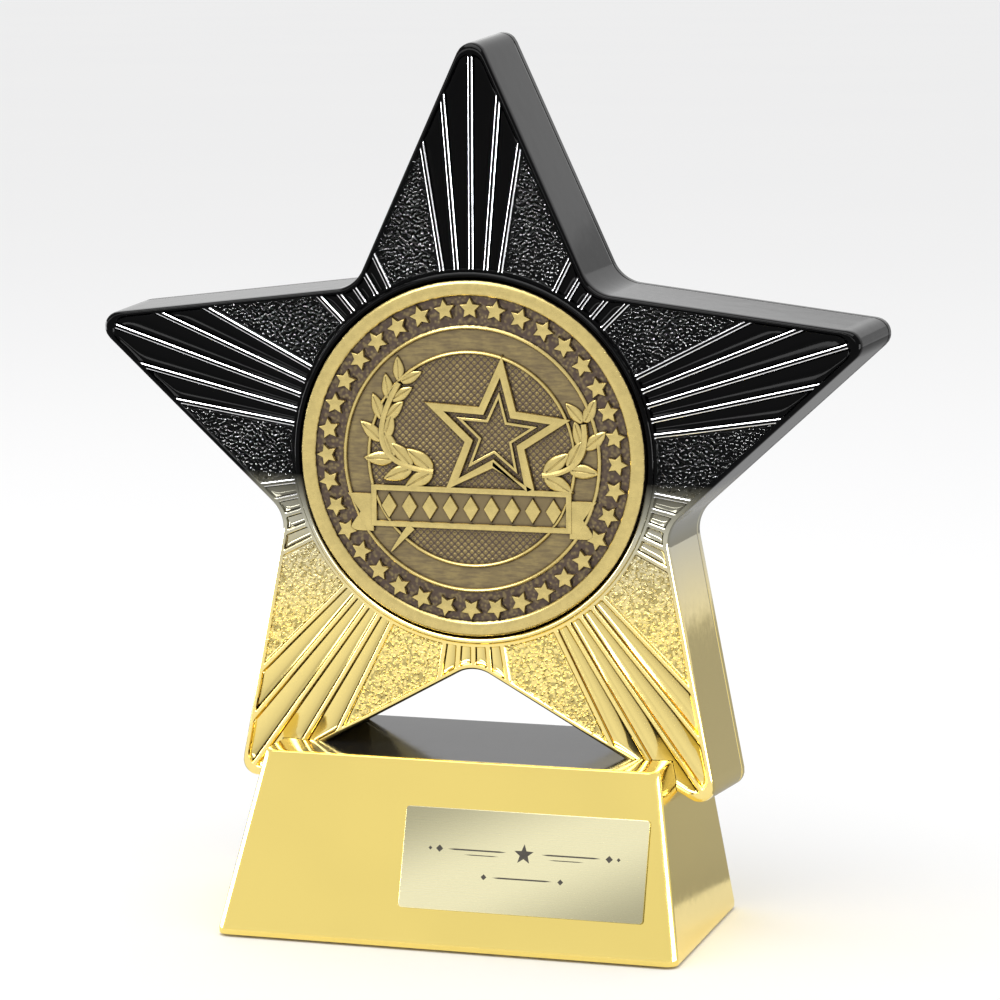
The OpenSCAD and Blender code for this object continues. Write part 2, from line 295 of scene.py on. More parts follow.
@dataclass(frozen=True)
class FadePlating:
    """Gloss plating that is black at the top and fades over silver to gold."""

    black_z: float = 77.0
    silver_z: float = 68.5
    gold_z: float = 52.0
    black: tuple = (0.0008, 0.0008, 0.001)
    silver: tuple = (0.47, 0.455, 0.36)
    gold: tuple = (0.92, 0.74, 0.27)
    # bare: bright silver used as a painted highlight on the rib edges of the black part
    bare: tuple = (0.9, 0.9, 0.92)
    # shade: the colour of the painted shade along the ribs' feet and across the gold flutes
    shade: tuple = (0.035, 0.022, 0.008)
    gloss: float = 0.07
    pebble: float = 0.66
    back_y: float = 1000.0

    def material(self) -> bpy.types.Material:
        """Returns the plating, with its pebbled panels where the pebble attribute is 1, a painted highlight
        on the rib edges of the black part, and painted shade along the ribs' feet, across the gold flutes and
        between the gold grains.
        """
        b = Board("fade_plating")
        drift = b.math("MULTIPLY", b.math("SUBTRACT", b.noise(60, 1), 0.5), 3.0 * MM)
        level = b.math("ADD", b.axis(2), drift)
        colour_at = b.math("DIVIDE", b.math("SUBTRACT", level, self.gold_z * MM),
                           (self.black_z - self.gold_z) * MM)
        reach = (self.silver_z - self.gold_z) / (self.black_z - self.gold_z)
        colour = b.ramp(colour_at, [(0.0, self.gold), (reach, self.silver), (1.0, self.black)])
        metal = b.span(level, self.silver_z * MM, self.black_z * MM, 1.0, 0.0)
        unplated = b.span(b.axis(1), (self.back_y - 0.4) * MM, (self.back_y - 0.2) * MM)
        colour = b.mix(unplated, colour, self.black)
        metal = b.math("MULTIPLY", metal, b.math("SUBTRACT", 1.0, unplated))

        def mark(name: str) -> bpy.types.NodeSocket:
            """Returns the value of a point attribute.

            Args:
                name: The attribute's name.
            """
            return b.add("ShaderNodeAttribute", attribute_name=name).outputs["Fac"]

        mask = mark("pebble")
        # Painted highlight: the rib edges of the black part turn bright silver metal, broken up by noise,
        # standing in for the light caught along them
        rib_highlight = b.math("MULTIPLY", b.span(mark("rib_highlight"), 0.35, 0.75), b.math("SUBTRACT", 1.0, metal))
        rib_highlight = b.math("MULTIPLY", rib_highlight, b.span(b.noise(500, 2), 0.2, 0.5, 0.75, 1.0))
        # Painted shade in the gold part: dark lines at the ribs' feet and a darkening across each flute
        # towards the next rib
        groove = b.math("MULTIPLY", mark("groove"), metal)
        warp = b.add("ShaderNodeTexNoise")
        b.feed(warp, "Vector", b.coords())
        b.feed(warp, "Scale", 800.0)
        b.feed(warp, "Detail", 0.0)
        moved = b.add("ShaderNodeVectorMath", operation="MULTIPLY_ADD")
        b.feed(moved, 0, warp.outputs["Color"])
        b.feed(moved, 1, (0.0014,) * 3)
        b.feed(moved, 2, b.coords())
        grain = b.add("ShaderNodeTexVoronoi", feature="SMOOTH_F1")
        b.feed(grain, "Vector", moved.outputs[0])
        b.feed(grain, "Scale", 1000.0 / self.pebble)
        b.feed(grain, "Smoothness", 0.3)
        pebbles = b.math("MULTIPLY", b.math("SUBTRACT", 1.0, grain.outputs[0]),
                         b.math("MULTIPLY", mask, b.math("MULTIPLY_ADD", metal, -0.5, 1.0)))
        # Painted shade: the gaps between the grains of the gold panels are darkened
        between = b.math("MULTIPLY", b.span(grain.outputs[0], 0.44, 0.68, 0.12, 1.0),
                         b.math("MULTIPLY", mask, b.math("MULTIPLY", metal, 0.8)))
        colour = b.mix(between, colour, tuple(0.36 * c for c in self.gold))
        # Painted highlight on the rib edges, then painted shade over it
        colour = b.mix(groove, b.mix(rib_highlight, colour, self.bare), self.shade)
        skin = b.bump(b.noise(260, 1), 0.00003, 0.5)
        normal = b.bump(pebbles, 0.00012, 1.0, skin)
        rough = b.span(b.noise(900, 3), 0.3, 0.7, self.gloss, self.gloss + 0.035)
        rough = b.math("ADD", rough, b.math("MULTIPLY", b.math("MULTIPLY", mask, metal), 0.16))
        return b.finish(Base_Color=colour, Metallic=b.math("MAXIMUM", metal, rib_highlight), Roughness=rough,
                        Normal=normal,
                        IOR=1.15)


@dataclass(frozen=True)
class GoldPlating:
    """Bright gold plating on moulded plastic, with a faint ripple."""

    gold: tuple = (0.93, 0.735, 0.22)
    gloss: float = 0.09
    ripple: float = 0.00003
    top_z: float = 30.5
    bare: tuple = (0.012, 0.012, 0.013)

    def material(self) -> bpy.types.Material:
        """Returns the plating, which leaves the middle of the top bare black."""
        b = Board("gold_plating")
        tint = b.mix(b.span(b.noise(35, 2), 0.35, 0.65), self.gold, tuple(0.96 * c for c in self.gold))
        normal = b.bump(b.noise(55, 2), self.ripple, 1.0)
        normal = b.bump(b.noise(1500, 2), 0.000002, 1.0, normal)
        rough = b.span(b.noise(600, 3), 0.3, 0.7, self.gloss, self.gloss + 0.05)
        on_top = b.span(b.axis(2), (self.top_z - 0.12) * MM, (self.top_z - 0.02) * MM)
        middle = b.span(b.math("ABSOLUTE", b.axis(0)), 26 * MM, 30 * MM, 1.0, 0.0)
        behind = b.span(b.axis(1), -11.75 * MM, -11.1 * MM)
        bare = b.math("MULTIPLY", on_top, b.math("MULTIPLY", middle, behind))
        return b.finish(Base_Color=b.mix(bare, tint, self.bare), Metallic=b.math("SUBTRACT", 1.0, bare),
                        Roughness=rough, Normal=normal, IOR=1.3)


@dataclass(frozen=True)
class AntiqueBronze:
    """Struck metal with dark patina left in its hollows, and a darkening in its corners that is partly patina
    and partly painted shade.
    """

    face_y: float
    centre_z: float
    bright: tuple = (0.68, 0.54, 0.21)
    patina: tuple = (0.115, 0.085, 0.068)
    relief: float = 0.8
    ground_r: float = 22.5
    band_r: float = 18.0
    hatch: float = 0.85
    shade_reach: float = 0.7

    def material(self) -> bpy.types.Material:
        """Returns the metal: pebbled ground, a brushed ring and a hatched middle."""
        b = Board("antique_bronze")
        down = b.math("SUBTRACT", b.axis(1), self.face_y * MM)
        place = b.add("ShaderNodeVectorMath", operation="SUBTRACT")
        b.feed(place, 0, b.coords())
        b.feed(place, 1, (0.0, self.face_y * MM, self.centre_z * MM))
        flat = b.add("ShaderNodeVectorMath", operation="MULTIPLY")
        b.feed(flat, 0, place.outputs[0])
        b.feed(flat, 1, (1.0, 0.0, 1.0))
        radius = b.add("ShaderNodeVectorMath", operation="LENGTH")
        b.feed(radius, 0, flat.outputs[0])
        r = radius.outputs["Value"]
        outer = b.span(r, (self.ground_r - 0.2) * MM, self.ground_r * MM)
        inner = b.span(r, (self.band_r - 0.2) * MM, self.band_r * MM, 1.0, 0.0)
        low = b.span(down, 0.3 * self.relief * MM, 0.92 * self.relief * MM)
        # diagonal hatch
        parts = b.add("ShaderNodeSeparateXYZ")
        b.feed(parts, 0, flat.outputs[0])
        wave = 2 * math.pi / (self.hatch * MM * math.sqrt(2.0))
        plus = b.math("MULTIPLY", b.math("ADD", parts.outputs[0], parts.outputs[2]), wave)
        minus = b.math("MULTIPLY", b.math("SUBTRACT", parts.outputs[0], parts.outputs[2]), wave)
        studs = b.math("MULTIPLY", b.math("COSINE", b.math("MULTIPLY", plus, 0.5)),
                       b.math("COSINE", b.math("MULTIPLY", minus, 0.5)))
        floor = b.span(down, 0.76 * self.relief * MM, 0.82 * self.relief * MM)
        studs = b.math("MULTIPLY", b.span(b.math("ABSOLUTE", studs), 0.1, 0.6),
                       b.math("MULTIPLY", inner, floor))
        grain = b.add("ShaderNodeTexVoronoi", feature="SMOOTH_F1")
        b.feed(grain, "Vector", b.coords())
        b.feed(grain, "Scale", 1600.0)
        pebbles = b.math("MULTIPLY", b.math("SUBTRACT", 1.0, grain.outputs[0]), outer)
        height = b.math("MULTIPLY", pebbles, low)
        wear = b.span(b.noise(420, 4, 0.6), 0.35, 0.75)
        brushed = b.noise(400, 3, 0.6, (1.0, 1.0, 6.0))
        band = b.math("SUBTRACT", b.math("SUBTRACT", 1.0, inner), outer)
        satin = b.math("MULTIPLY", band, b.span(brushed, 0.3, 0.7, 0.2, 0.42))
        crest = b.math("MULTIPLY_ADD", studs, 0.46,
                       b.math("MULTIPLY_ADD", b.span(pebbles, 0.45, 0.85), 0.26, satin))
        crest = b.math("MULTIPLY", crest, b.math("ADD", b.math("MULTIPLY", wear, 0.4), 0.7))
        hollow = b.mix(crest, self.patina, self.bright)
        top = b.mix(b.span(b.noise(900, 4, 0.6), 0.3, 0.75), self.bright,
                    tuple(0.86 * c for c in self.bright))
        # Painted shade, partly patina: the metal darkens where the relief hides its surroundings, in corners
        # and round raised shapes
        corner = b.add("ShaderNodeAmbientOcclusion", samples=8, only_local=True)
        b.feed(corner, "Distance", self.shade_reach * MM)
        patina_and_shade = b.span(corner.outputs["AO"], 0.45, 0.95, 0.85, 0.0)
        colour = b.mix(patina_and_shade, b.mix(low, top, hollow), tuple(0.7 * c for c in self.patina))
        normal = b.bump(height, 0.0002, 1.0)
        normal = b.bump(brushed, 0.00001, 0.8, normal)
        rough = b.math("ADD", b.span(low, 0.0, 1.0, 0.28, 0.45), b.span(brushed, 0.2, 0.8, -0.05, 0.05))
        return b.finish(Base_Color=colour, Metallic=1.0, Roughness=rough, Normal=normal)


@dataclass(frozen=True)
class SatinPlate:
    """Pale satin metal sheet, finely brushed along its length."""

    centre: tuple
    half: tuple
    tone: tuple = (0.92, 0.86, 0.55)
    rough: float = 0.24

    def material(self) -> bpy.types.Material:
        """Returns the sheet metal, with a painted highlight along one diagonal."""
        b = Board("satin_plate")
        lines = b.noise(500, 4, 0.7, (0.06, 4.0, 4.0))
        tint = b.mix(b.span(lines, 0.3, 0.7), self.tone, tuple(0.99 * c for c in self.tone))
        # Painted highlight: the sheet is brightest along the diagonal from lower left to upper right and
        # darkens towards the other two corners
        across = b.math("DIVIDE", b.math("SUBTRACT", b.axis(0), self.centre[0] * MM), self.half[0] * MM)
        down = b.math("DIVIDE", b.math("SUBTRACT", b.axis(2), self.centre[1] * MM), self.half[1] * MM)
        away = b.math("ABSOLUTE", b.math("SUBTRACT", across, down))
        tint = b.mix(b.span(away, 0.2, 2.0, 0.0, 0.72), tint, tuple(0.3 * c for c in self.tone))
        normal = b.bump(lines, 0.0000003, 1.0, b.bump(b.noise(30, 1), 0.00005, 1.0))
        rough = b.span(lines, 0.2, 0.8, self.rough, self.rough + 0.06)
        return b.finish(Base_Color=tint, Metallic=1.0, Roughness=rough, Normal=normal)


@dataclass(frozen=True)
class PlainFinish:
    """A simple finish with grain, for fittings and hidden pieces."""

    name: str
    tone: tuple
    metallic: float = 0.0
    rough: float = 0.5
    grain: float = 800.0
    depth: float = 0.00002
    spread: float = 0.8
    stretch: tuple = (1.0, 1.0, 1.0)

    def material(self) -> bpy.types.Material:
        """Returns the finish."""
        b = Board(self.name)
        grain = b.noise(self.grain, 4, 0.6, self.stretch)
        tint = b.mix(b.span(grain, 0.3, 0.7), self.tone, tuple(self.spread * c for c in self.tone))
        rough = b.span(grain, 0.2, 0.8, self.rough * 0.9, min(1.0, self.rough * 1.15))
        return b.finish(Base_Color=tint, Metallic=self.metallic, Roughness=rough,
                        Normal=b.bump(grain, self.depth, 0.8))


STEEL = PlainFinish("zinc_steel", (0.55, 0.56, 0.58), 1.0, 0.28, 900, 0.000006)
BRASS = PlainFinish("turned_brass", (0.78, 0.58, 0.26), 1.0, 0.25, 1200, 0.000006, 0.85, (0.2, 0.2, 3.0))
IRON = PlainFinish("cast_iron", (0.09, 0.09, 0.095), 0.7, 0.6, 500, 0.00012, 0.6)
FOAM = PlainFinish("white_foam", (0.8, 0.8, 0.78), 0.0, 0.9, 1500, 0.0001)
MATT_PLASTIC = PlainFinish("matt_plastic", (0.02, 0.02, 0.022), 0.0, 0.55, 1200, 0.00002)
FELT_CLOTH = PlainFinish("black_felt", (0.02, 0.02, 0.022), 0.0, 0.95, 1800, 0.00015, 0.5)
ENGRAVED = PlainFinish("engraved_line", (0.11, 0.1, 0.085), 0.6, 0.5, 1500, 0.000004)


# ----------------------------------------------------------------- mesh helpers


def new_piece(name: str, verts: Sequence, faces: Sequence, slot: Slot, material: bpy.types.Material,
              crease: float = 32.0, smooth: bool = True) -> bpy.types.Object:
    """Makes a mesh object with sharp edges where its faces turn.

    Args:
        name: The object's name.
        verts: Corners in metres.
        faces: Lists of corner indices.
        slot: The record's slot it takes its finish from.
        material: Its material.
        crease: Angle in degrees past which an edge is sharp.
        smooth: Whether the other edges are smooth.

    Returns:
        The object, at the origin.
    """
    mesh = bpy.data.meshes.new(name)
    mesh.from_pydata([tuple(v) for v in verts], [], [tuple(f) for f in faces])
    mesh.validate()
    obj = bpy.data.objects.new(name, mesh)
    bpy.context.scene.collection.objects.link(obj)
    mesh.materials.append(material)
    if smooth:
        shade(obj, crease)
    obj["slot_name"] = slot.value
    return obj


def shade(obj: bpy.types.Object, crease: float) -> None:
    """Shades a mesh smooth, with sharp edges past an angle.

    Args:
        obj: The object.
        crease: The angle in degrees.
    """
    obj.data.polygons.foreach_set("use_smooth", [True] * len(obj.data.polygons))
    obj.data.set_sharp_from_angle(angle=math.radians(crease))


def baked(obj: bpy.types.Object) -> bpy.types.Object:
    """Applies an object's modifiers, as a plain mesh.

    Args:
        obj: The object.

    Returns:
        The same object.
    """
    graph = bpy.context.evaluated_depsgraph_get()
    mesh = bpy.data.meshes.new_from_object(obj.evaluated_get(graph), preserve_all_data_layers=True,
                                           depsgraph=graph)
    mesh.name = obj.name
    obj.modifiers.clear()
    obj.data = mesh
    return obj


def cut_away(obj: bpy.types.Object, cutters: Sequence[bpy.types.Object]) -> bpy.types.Object:
    """Cuts closed shapes out of a piece and removes them.

    Args:
        obj: The piece.
        cutters: The shapes to cut away.

    Returns:
        The piece, with the cut applied.
    """
    for cutter in cutters:
        tool = obj.modifiers.new("cut", "BOOLEAN")
        tool.operation = "DIFFERENCE"
        tool.solver = "EXACT"
        tool.object = cutter
    baked(obj)
    for cutter in cutters:
        bpy.data.objects.remove(cutter)
    return obj


def even_normals(obj: bpy.types.Object) -> bpy.types.Object:
    """Lets large faces keep their own normals beside small rounded ones.

    Args:
        obj: The object.

    Returns:
        The same object.
    """
    tool = obj.modifiers.new("even", "WEIGHTED_NORMAL")
    tool.keep_sharp = True
    tool.weight = 80
    return baked(obj)


def joined(parts: Sequence[bpy.types.Object], name: str) -> bpy.types.Object:
    """Joins objects into one.

    Args:
        parts: The objects; the first one stays.
        name: Name of the result.

    Returns:
        The joined object.
    """
    first = parts[0]
    if len(parts) > 1:
        with bpy.context.temp_override(active_object=first, selected_editable_objects=list(parts)):
            bpy.ops.object.join()
    first.name = first.data.name = name
    return first


def fit_out(obj: bpy.types.Object, nodes: Sequence[str] = ()) -> bpy.types.Object:
    """Hands a finished piece to the frame.

    Args:
        obj: The piece.
        nodes: The CAD nodes it stands for.

    Returns:
        The piece.
    """
    if "slot_name" in obj:
        del obj["slot_name"]
    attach(obj, "root")
    if nodes:
        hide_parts(*nodes)
    LOG.info("%s: %d faces", obj.name, len(obj.data.polygons))
    return obj


def lofted(rows: Sequence[np.ndarray], start_pole: bool, end_pole: bool) -> tuple[np.ndarray, list]:
    """Joins closed rings of equal length into a skin.

    Args:
        rows: The rings, each an array of points.
        start_pole: Whether the first ring is closed by a point in its middle.
        end_pole: Whether the last ring is.

    Returns:
        The corners and the faces.
    """
    n = len(rows[0])
    verts = np.concatenate(rows)
    faces = []
    j = np.arange(n)
    k = (j + 1) % n
    for i in range(len(rows) - 1):
        faces.extend(np.stack([i * n + j, (i + 1) * n + j, (i + 1) * n + k, i * n + k], 1).tolist())
    for pole, at in ((start_pole, 0), (end_pole, len(rows) - 1)):
        if pole:
            verts = np.vstack([verts, rows[at].mean(0)])
            c = len(verts) - 1
            a, b = at * n + j, at * n + k
            tri = np.stack([a, b, np.full(n, c)], 1) if at == 0 else np.stack([b, a, np.full(n, c)], 1)
            faces.extend(tri.tolist())
    return verts, faces


# ------------------------------------------------------------------- the star


@dataclass(frozen=True)
class StarPlace:
    """Where the star's own frame lies in the model."""

    front_y: float
    centre_z: float

    def put(self, uvw: np.ndarray) -> np.ndarray:
        """Takes points from the star's frame to the model's.

        Args:
            uvw: Points in millimetres.

        Returns:
            Points in metres.
        """
        uvw = np.asarray(uvw, float)
        return np.stack([uvw[:, 0], self.front_y - uvw[:, 2], self.centre_z + uvw[:, 1]], 1) * MM


@dataclass(frozen=True)
class StarOutline:
    """Five-pointed outline with rounded points and rounded inner corners."""

    tip_r: float = 72.7
    inner_r: float = 35.0
    tip_round: float = 2.6
    inner_round: float = 6.0

    @property
    def edge_d(self) -> float:
        """Distance of the straight edges from the centre."""
        half = math.radians(TURN / 2)
        span = math.hypot(self.tip_r - self.inner_r * math.cos(half), self.inner_r * math.sin(half))
        return self.tip_r * self.inner_r * math.sin(half) / span

    @property
    def point_half(self) -> float:
        """Half angle of a point, in degrees."""
        return math.degrees(math.asin(self.edge_d / self.tip_r))

    def radius(self, angle: np.ndarray) -> np.ndarray:
        """Distance from the centre to the outline.

        Args:
            angle: Directions in degrees from +u.

        Returns:
            The distances in millimetres.
        """
        off = np.abs((np.asarray(angle, float) - 90 + TURN / 2) % TURN - TURN / 2)
        ph = math.radians(self.point_half)
        lean = math.pi / 2 - ph
        rad = np.radians(off)
        r = self.edge_d / np.cos(lean - rad)
        mid = self.tip_r - self.tip_round / math.sin(ph)
        touch = math.atan2(self.tip_round * math.sin(lean), mid + self.tip_round * math.cos(lean))
        root = np.sqrt(np.maximum(self.tip_round**2 - (mid * np.sin(rad)) ** 2, 0))
        r = np.where(rad < touch, mid * np.cos(rad) + root, r)
        turn = lean - math.radians(TURN / 2)
        mid = self.inner_r + self.inner_round / math.cos(turn)
        touch = math.atan2(self.inner_round * math.sin(turn), mid - self.inner_round * math.cos(turn))
        away = math.radians(TURN / 2) - rad
        root = np.sqrt(np.maximum(self.inner_round**2 - (mid * np.sin(away)) ** 2, 0))
        return np.where(away < touch, mid * np.cos(away) - root, r)


@dataclass(frozen=True)
class Lane:
    """One line of points that runs outwards over the star's face.

    It lies between two ribs: share 0 is on the first and share 1 on the second,
    each moved sideways by its own offset.
    """

    first: float
    second: float
    first_off: float
    second_off: float
    share: float
    depth: float
    flute: bool
    pebble: float = 0.0
    # The last two marks: a painted highlight on the rib edges, and painted shade at the ribs' feet and across
    # the flutes
    rib_highlight: float = 0.0
    groove: float = 0.0

    def angle(self, r: np.ndarray) -> np.ndarray:
        """Direction of the lane at a distance from the centre.

        Args:
            r: The distance in millimetres.

        Returns:
            The direction in degrees.
        """
        a = self.first + np.degrees(np.arcsin(self.first_off / r))
        b = self.second + np.degrees(np.arcsin(self.second_off / r))
        return a + (b - a) * self.share


@dataclass
class StarFace:
    """The star's moulded front shell with its fans, flutes and pebbled panels."""

    outline: StarOutline
    place: StarPlace
    ribs: int = 5
    pitch: float = 4.58
    rib_half: float = 0.43
    fillet: float = 0.22
    flute_depth: float = 0.85
    wall_drop: float = 0.58
    groove: float = 0.3
    panel_depth: float = 0.4
    border: float = 0.75
    bevel: tuple = (0.4, 0.8)
    depth: float = 18.0
    growth: float = 0.019 / 20
    bezel_in: float = 30.35
    bezel_out: float = 31.45
    bezel_h: float = 0.5
    recess: float = 2.2
    field_in: float = 31.95
    lanes: list = field(default_factory=list)

    def _rib(self, at: float) -> list[Lane]:
        """Returns the lanes over one rib.

        Args:
            at: The rib's direction in degrees.
        """
        flat, h, f = self.rib_half - self.fillet, self.rib_half, self.fillet
        shape = [(-h - 0.02, 0.45 * self.wall_drop), (-h + 0.22 * f, 0.55 * f), (-h + 0.6 * f, 0.17 * f),
                 (-flat, 0.0),
                 (-0.45 * flat, 0.0), (0.45 * flat, 0.0),
                 (flat, 0.0), (h - 0.6 * f, 0.17 * f), (h - 0.22 * f, 0.55 * f),
                 (h + 0.02, 0.45 * self.wall_drop)]
        # Marks over the rib: a painted highlight on its rounded edges, and painted shade at its foot
        rib_highlight, groove = (0, 1, 1, 0.5, 0, 0, 0.5, 1, 1, 0), (1, 0, 0, 0, 0, 0, 0, 0, 0, 0.2)
        return [Lane(at, at, off, off, 0.0, deep, False, 0.0, w, g) for (off, deep), w,
                g in zip(shape, rib_highlight, groove)]

    def _between(self, a: float, b: float, flute: bool) -> list[Lane]:
        """Returns the lanes of a flute or a panel.

        Args:
            a: Direction of the rib before it, in degrees.
            b: Direction of the rib after it.
            flute: Whether it is a flute.
        """
        edge = self.rib_half + 0.06
        if flute:
            shares = (0.0, 0.045, 0.18, 0.3, 0.42, 0.54, 0.66, 0.78, 0.88, 0.955, 1.0)
            deep = [self.wall_drop + (self.flute_depth - self.wall_drop)
                    * (1 - abs(2 * (s ** 1.15) - 1) ** 2.2) for s in shares]
            deep[0] = deep[-1] = self.wall_drop + self.groove
        else:
            shares = (0.0, 0.012, 0.03, 0.1, 0.25, 0.4, 0.5, 0.6, 0.75, 0.9, 0.97, 0.988, 1.0)
            deep = [self.panel_depth if 0 < s < 1 else 0.8 * self.panel_depth for s in shares]
        pebble = [float(not flute and 0.03 <= s <= 0.97) for s in shares]
        # Painted shade: each flute darkens steadily towards the next rib, with a dark line at its foot; a
        # panel gets only the line
        groove = [1.0 if s > 0.95 else 0.45 * s**1.5
                  for s in shares] if flute else [0.0] * (len(shares) - 1) + [1.0]
        return [Lane(a, b, edge, -edge, s, d, flute, p, 0.0, g) for s, d, p,
                g in zip(shares, deep, pebble, groove)]

    def _lay_lanes(self) -> None:
        """Fills the list of lanes, once round the star."""
        self.lanes = []
        half = (self.ribs - 1) / 2
        for sector in range(2 * POINTS):
            axis = 90 + TURN / 2 * sector
            at = [axis + (i - half) * self.pitch for i in range(self.ribs)]
            for i, rib in enumerate(at):
                self.lanes += self._rib(rib)
                if i + 1 < self.ribs:
                    self.lanes += self._between(rib, at[i + 1], True)
            self.lanes += self._between(at[-1], axis + TURN / 2 - half * self.pitch, False)

    def _ring(self, r: Callable[[np.ndarray, np.ndarray], np.ndarray]) -> tuple[np.ndarray, np.ndarray,
            np.ndarray]:
        """Finds one ring of points, a point on each lane.

        Args:
            r: Gives the distance from the centre, from the outline's distance there.

        Returns:
            Distances from the centre, directions in degrees, and the outline's distances.
        """
        dist = np.full(len(self.lanes), self.bezel_out)
        for _ in range(4):
            angle = np.array([lane.angle(d) for lane, d in zip(self.lanes, dist)])
            edge = self.outline.radius(angle)
            dist = r(edge)
        return dist, angle, edge

    def _rings(self) -> tuple[list[np.ndarray], list[np.ndarray]]:
        """Returns all rings of the shell, from the recess to the back, and the marks of their points."""
        o = self.outline
        rings, masks = [], []
        none = np.zeros((len(self.lanes), 3))
        deep = np.array([lane.depth for lane in self.lanes])
        flute = np.array([lane.flute for lane in self.lanes])
        # Marks per lane: grains, a painted highlight on rib edges, painted shade
        marks = np.array([(lane.pebble, lane.rib_highlight, lane.groove) for lane in self.lanes])

        def add(dist: np.ndarray, angle: np.ndarray, w: np.ndarray, mask: np.ndarray = none) -> None:
            """Adds a ring.

            Args:
                dist: Distances from the centre.
                angle: Directions in degrees.
                w: Heights.
                mask: Marks of the points.
            """
            a = np.radians(angle)
            rings.append(np.stack([dist * np.cos(a), dist * np.sin(a), np.broadcast_to(w, dist.shape)], 1))
            masks.append(mask)

        mid, round_r = (self.bezel_in + self.bezel_out) / 2, (self.bezel_out - self.bezel_in) / 2
        profile = [(6.0, -self.recess), (20.0, -self.recess), (30.0, -self.recess),
                   (self.bezel_in, -self.recess + 0.3), (self.bezel_in, -0.8)]
        low = self.bezel_h - round_r
        profile += [(mid - round_r * math.cos(math.radians(a)), low + round_r * math.sin(math.radians(a)))
                    for a in range(0, 181, 20)]
        for r, w in profile:
            dist, angle, _ = self._ring(lambda edge, r=r: np.full(len(edge), r))
            _, angle, _ = self._ring(lambda edge: np.full(len(edge), self.bezel_out))
            add(dist, angle, w)
        start = self.bezel_out + 0.06
        lean, drop = self.bevel
        inner = [0.0, 0.2, 0.42, 0.5, 0.58, 0.7, 0.9]
        outer = [2.5, 2.0, 1.6, 1.3, 1.12, 1.0, 0.9, 0.83, 0.77, 0.74, 0.6]
        outer += [lean * (1 - math.sin(math.radians(a))) for a in (0, 18, 36, 54, 72, 90)]
        steps = 14
        specs: list[tuple[float, float]] = [(d, 0.0) for d in inner]
        specs += [(inner[-1], (i + 1) / (steps + 1)) for i in range(steps)]
        specs += [(d, 1.0) for d in outer]

        def spread(edge: np.ndarray, d: float, t: float) -> np.ndarray:
            """Returns a ring's distances between the bezel and the outline.

            Args:
                edge: The outline's distances.
                d: Step from the bezel or from the outline.
                t: 0 beside the bezel, 1 beside the outline.
            """
            if t == 0.0:
                return np.full(len(edge), start + d)
            if t == 1.0:
                return edge * (1 - d / o.edge_d)
            return (start + inner[-1]) * (1 - t) + edge * (1 - outer[0] / o.edge_d) * t

        def ease(x: np.ndarray) -> np.ndarray:
            """Returns a smooth step from 0 to 1.

            Args:
                x: Shares of the way.
            """
            return np.clip(x, 0, 1) ** 2 * (3 - 2 * np.clip(x, 0, 1))

        for d, t in specs:
            dist, angle, edge = self._ring(partial(spread, d=d, t=t))
            rim = o.edge_d * (1 - dist / edge)
            into = dist - start
            open_in = ease((into - (self.field_in - start) + 0.05) / 0.3)
            spoon = 1 - np.exp(-np.maximum(rim - self.border, 0) / 0.22)
            step = ease((rim - self.border) / 0.3)
            ramp = np.where(flute, spoon * ease((rim - self.border) / 0.12), step) * open_in
            w = -deep * ramp
            edge_part = np.clip((lean - rim) / lean, 0, 1)
            w = np.where(rim < lean, -drop + drop * np.sqrt(np.maximum(1 - edge_part**2, 0)), w)
            # Where the marks hold: grains on the open panels, the painted rib highlight away from the outline
            # and bezel, painted shade where the face is sunk
            inside = np.stack([(step > 0.5) & (open_in > 0.5), (rim > 0.95) & (into > 0.3), ramp > 0.4], 1)
            add(dist, angle, w, marks * inside)
        for back, inset in ((1.0, 0.0), (1.6, 0.0), (5.0, 0.0), (9.0, 0.0), (13.0, 0.0), (17.3, 0.0),
                            (17.75, 0.0), (17.92, 0.12), (17.92, 1.2)):
            dist, angle, edge = self._ring(lambda edge, b=back,
                                           i=inset: edge * (1 + self.growth * b) * (1 - i / o.edge_d))
            add(dist, angle, -back)
        for share in (0.8, 0.4):
            dist, angle, edge = self._ring(lambda edge, s=share: edge * s)
            add(dist, angle, -self.depth + 0.08)
        return rings, masks

    def build(self, material: bpy.types.Material, notch: bpy.types.Object) -> bpy.types.Object:
        """Builds the shell.

        Args:
            material: The plating.
            notch: The shape of the base, which is cut away.

        Returns:
            The piece.
        """
        self._lay_lanes()
        rings, masks = self._rings()
        verts, faces = lofted(rings, True, True)
        obj = new_piece("star_front", self.place.put(verts), faces, Slot.STAR, material, smooth=False)
        marks = np.concatenate(masks + [np.zeros((2, 3))]).astype(np.float32)
        # Point marks: grains, the painted rib highlight and painted shade
        for i, name in enumerate(("pebble", "rib_highlight", "groove")):
            obj.data.attributes.new(name, "FLOAT", "POINT").data.foreach_set("value",
                    np.ascontiguousarray(marks[:, i]))
        cut_away(obj, [notch])
        shade(obj, 38.0)
        return fit_out(obj, ["star_front_shell"])


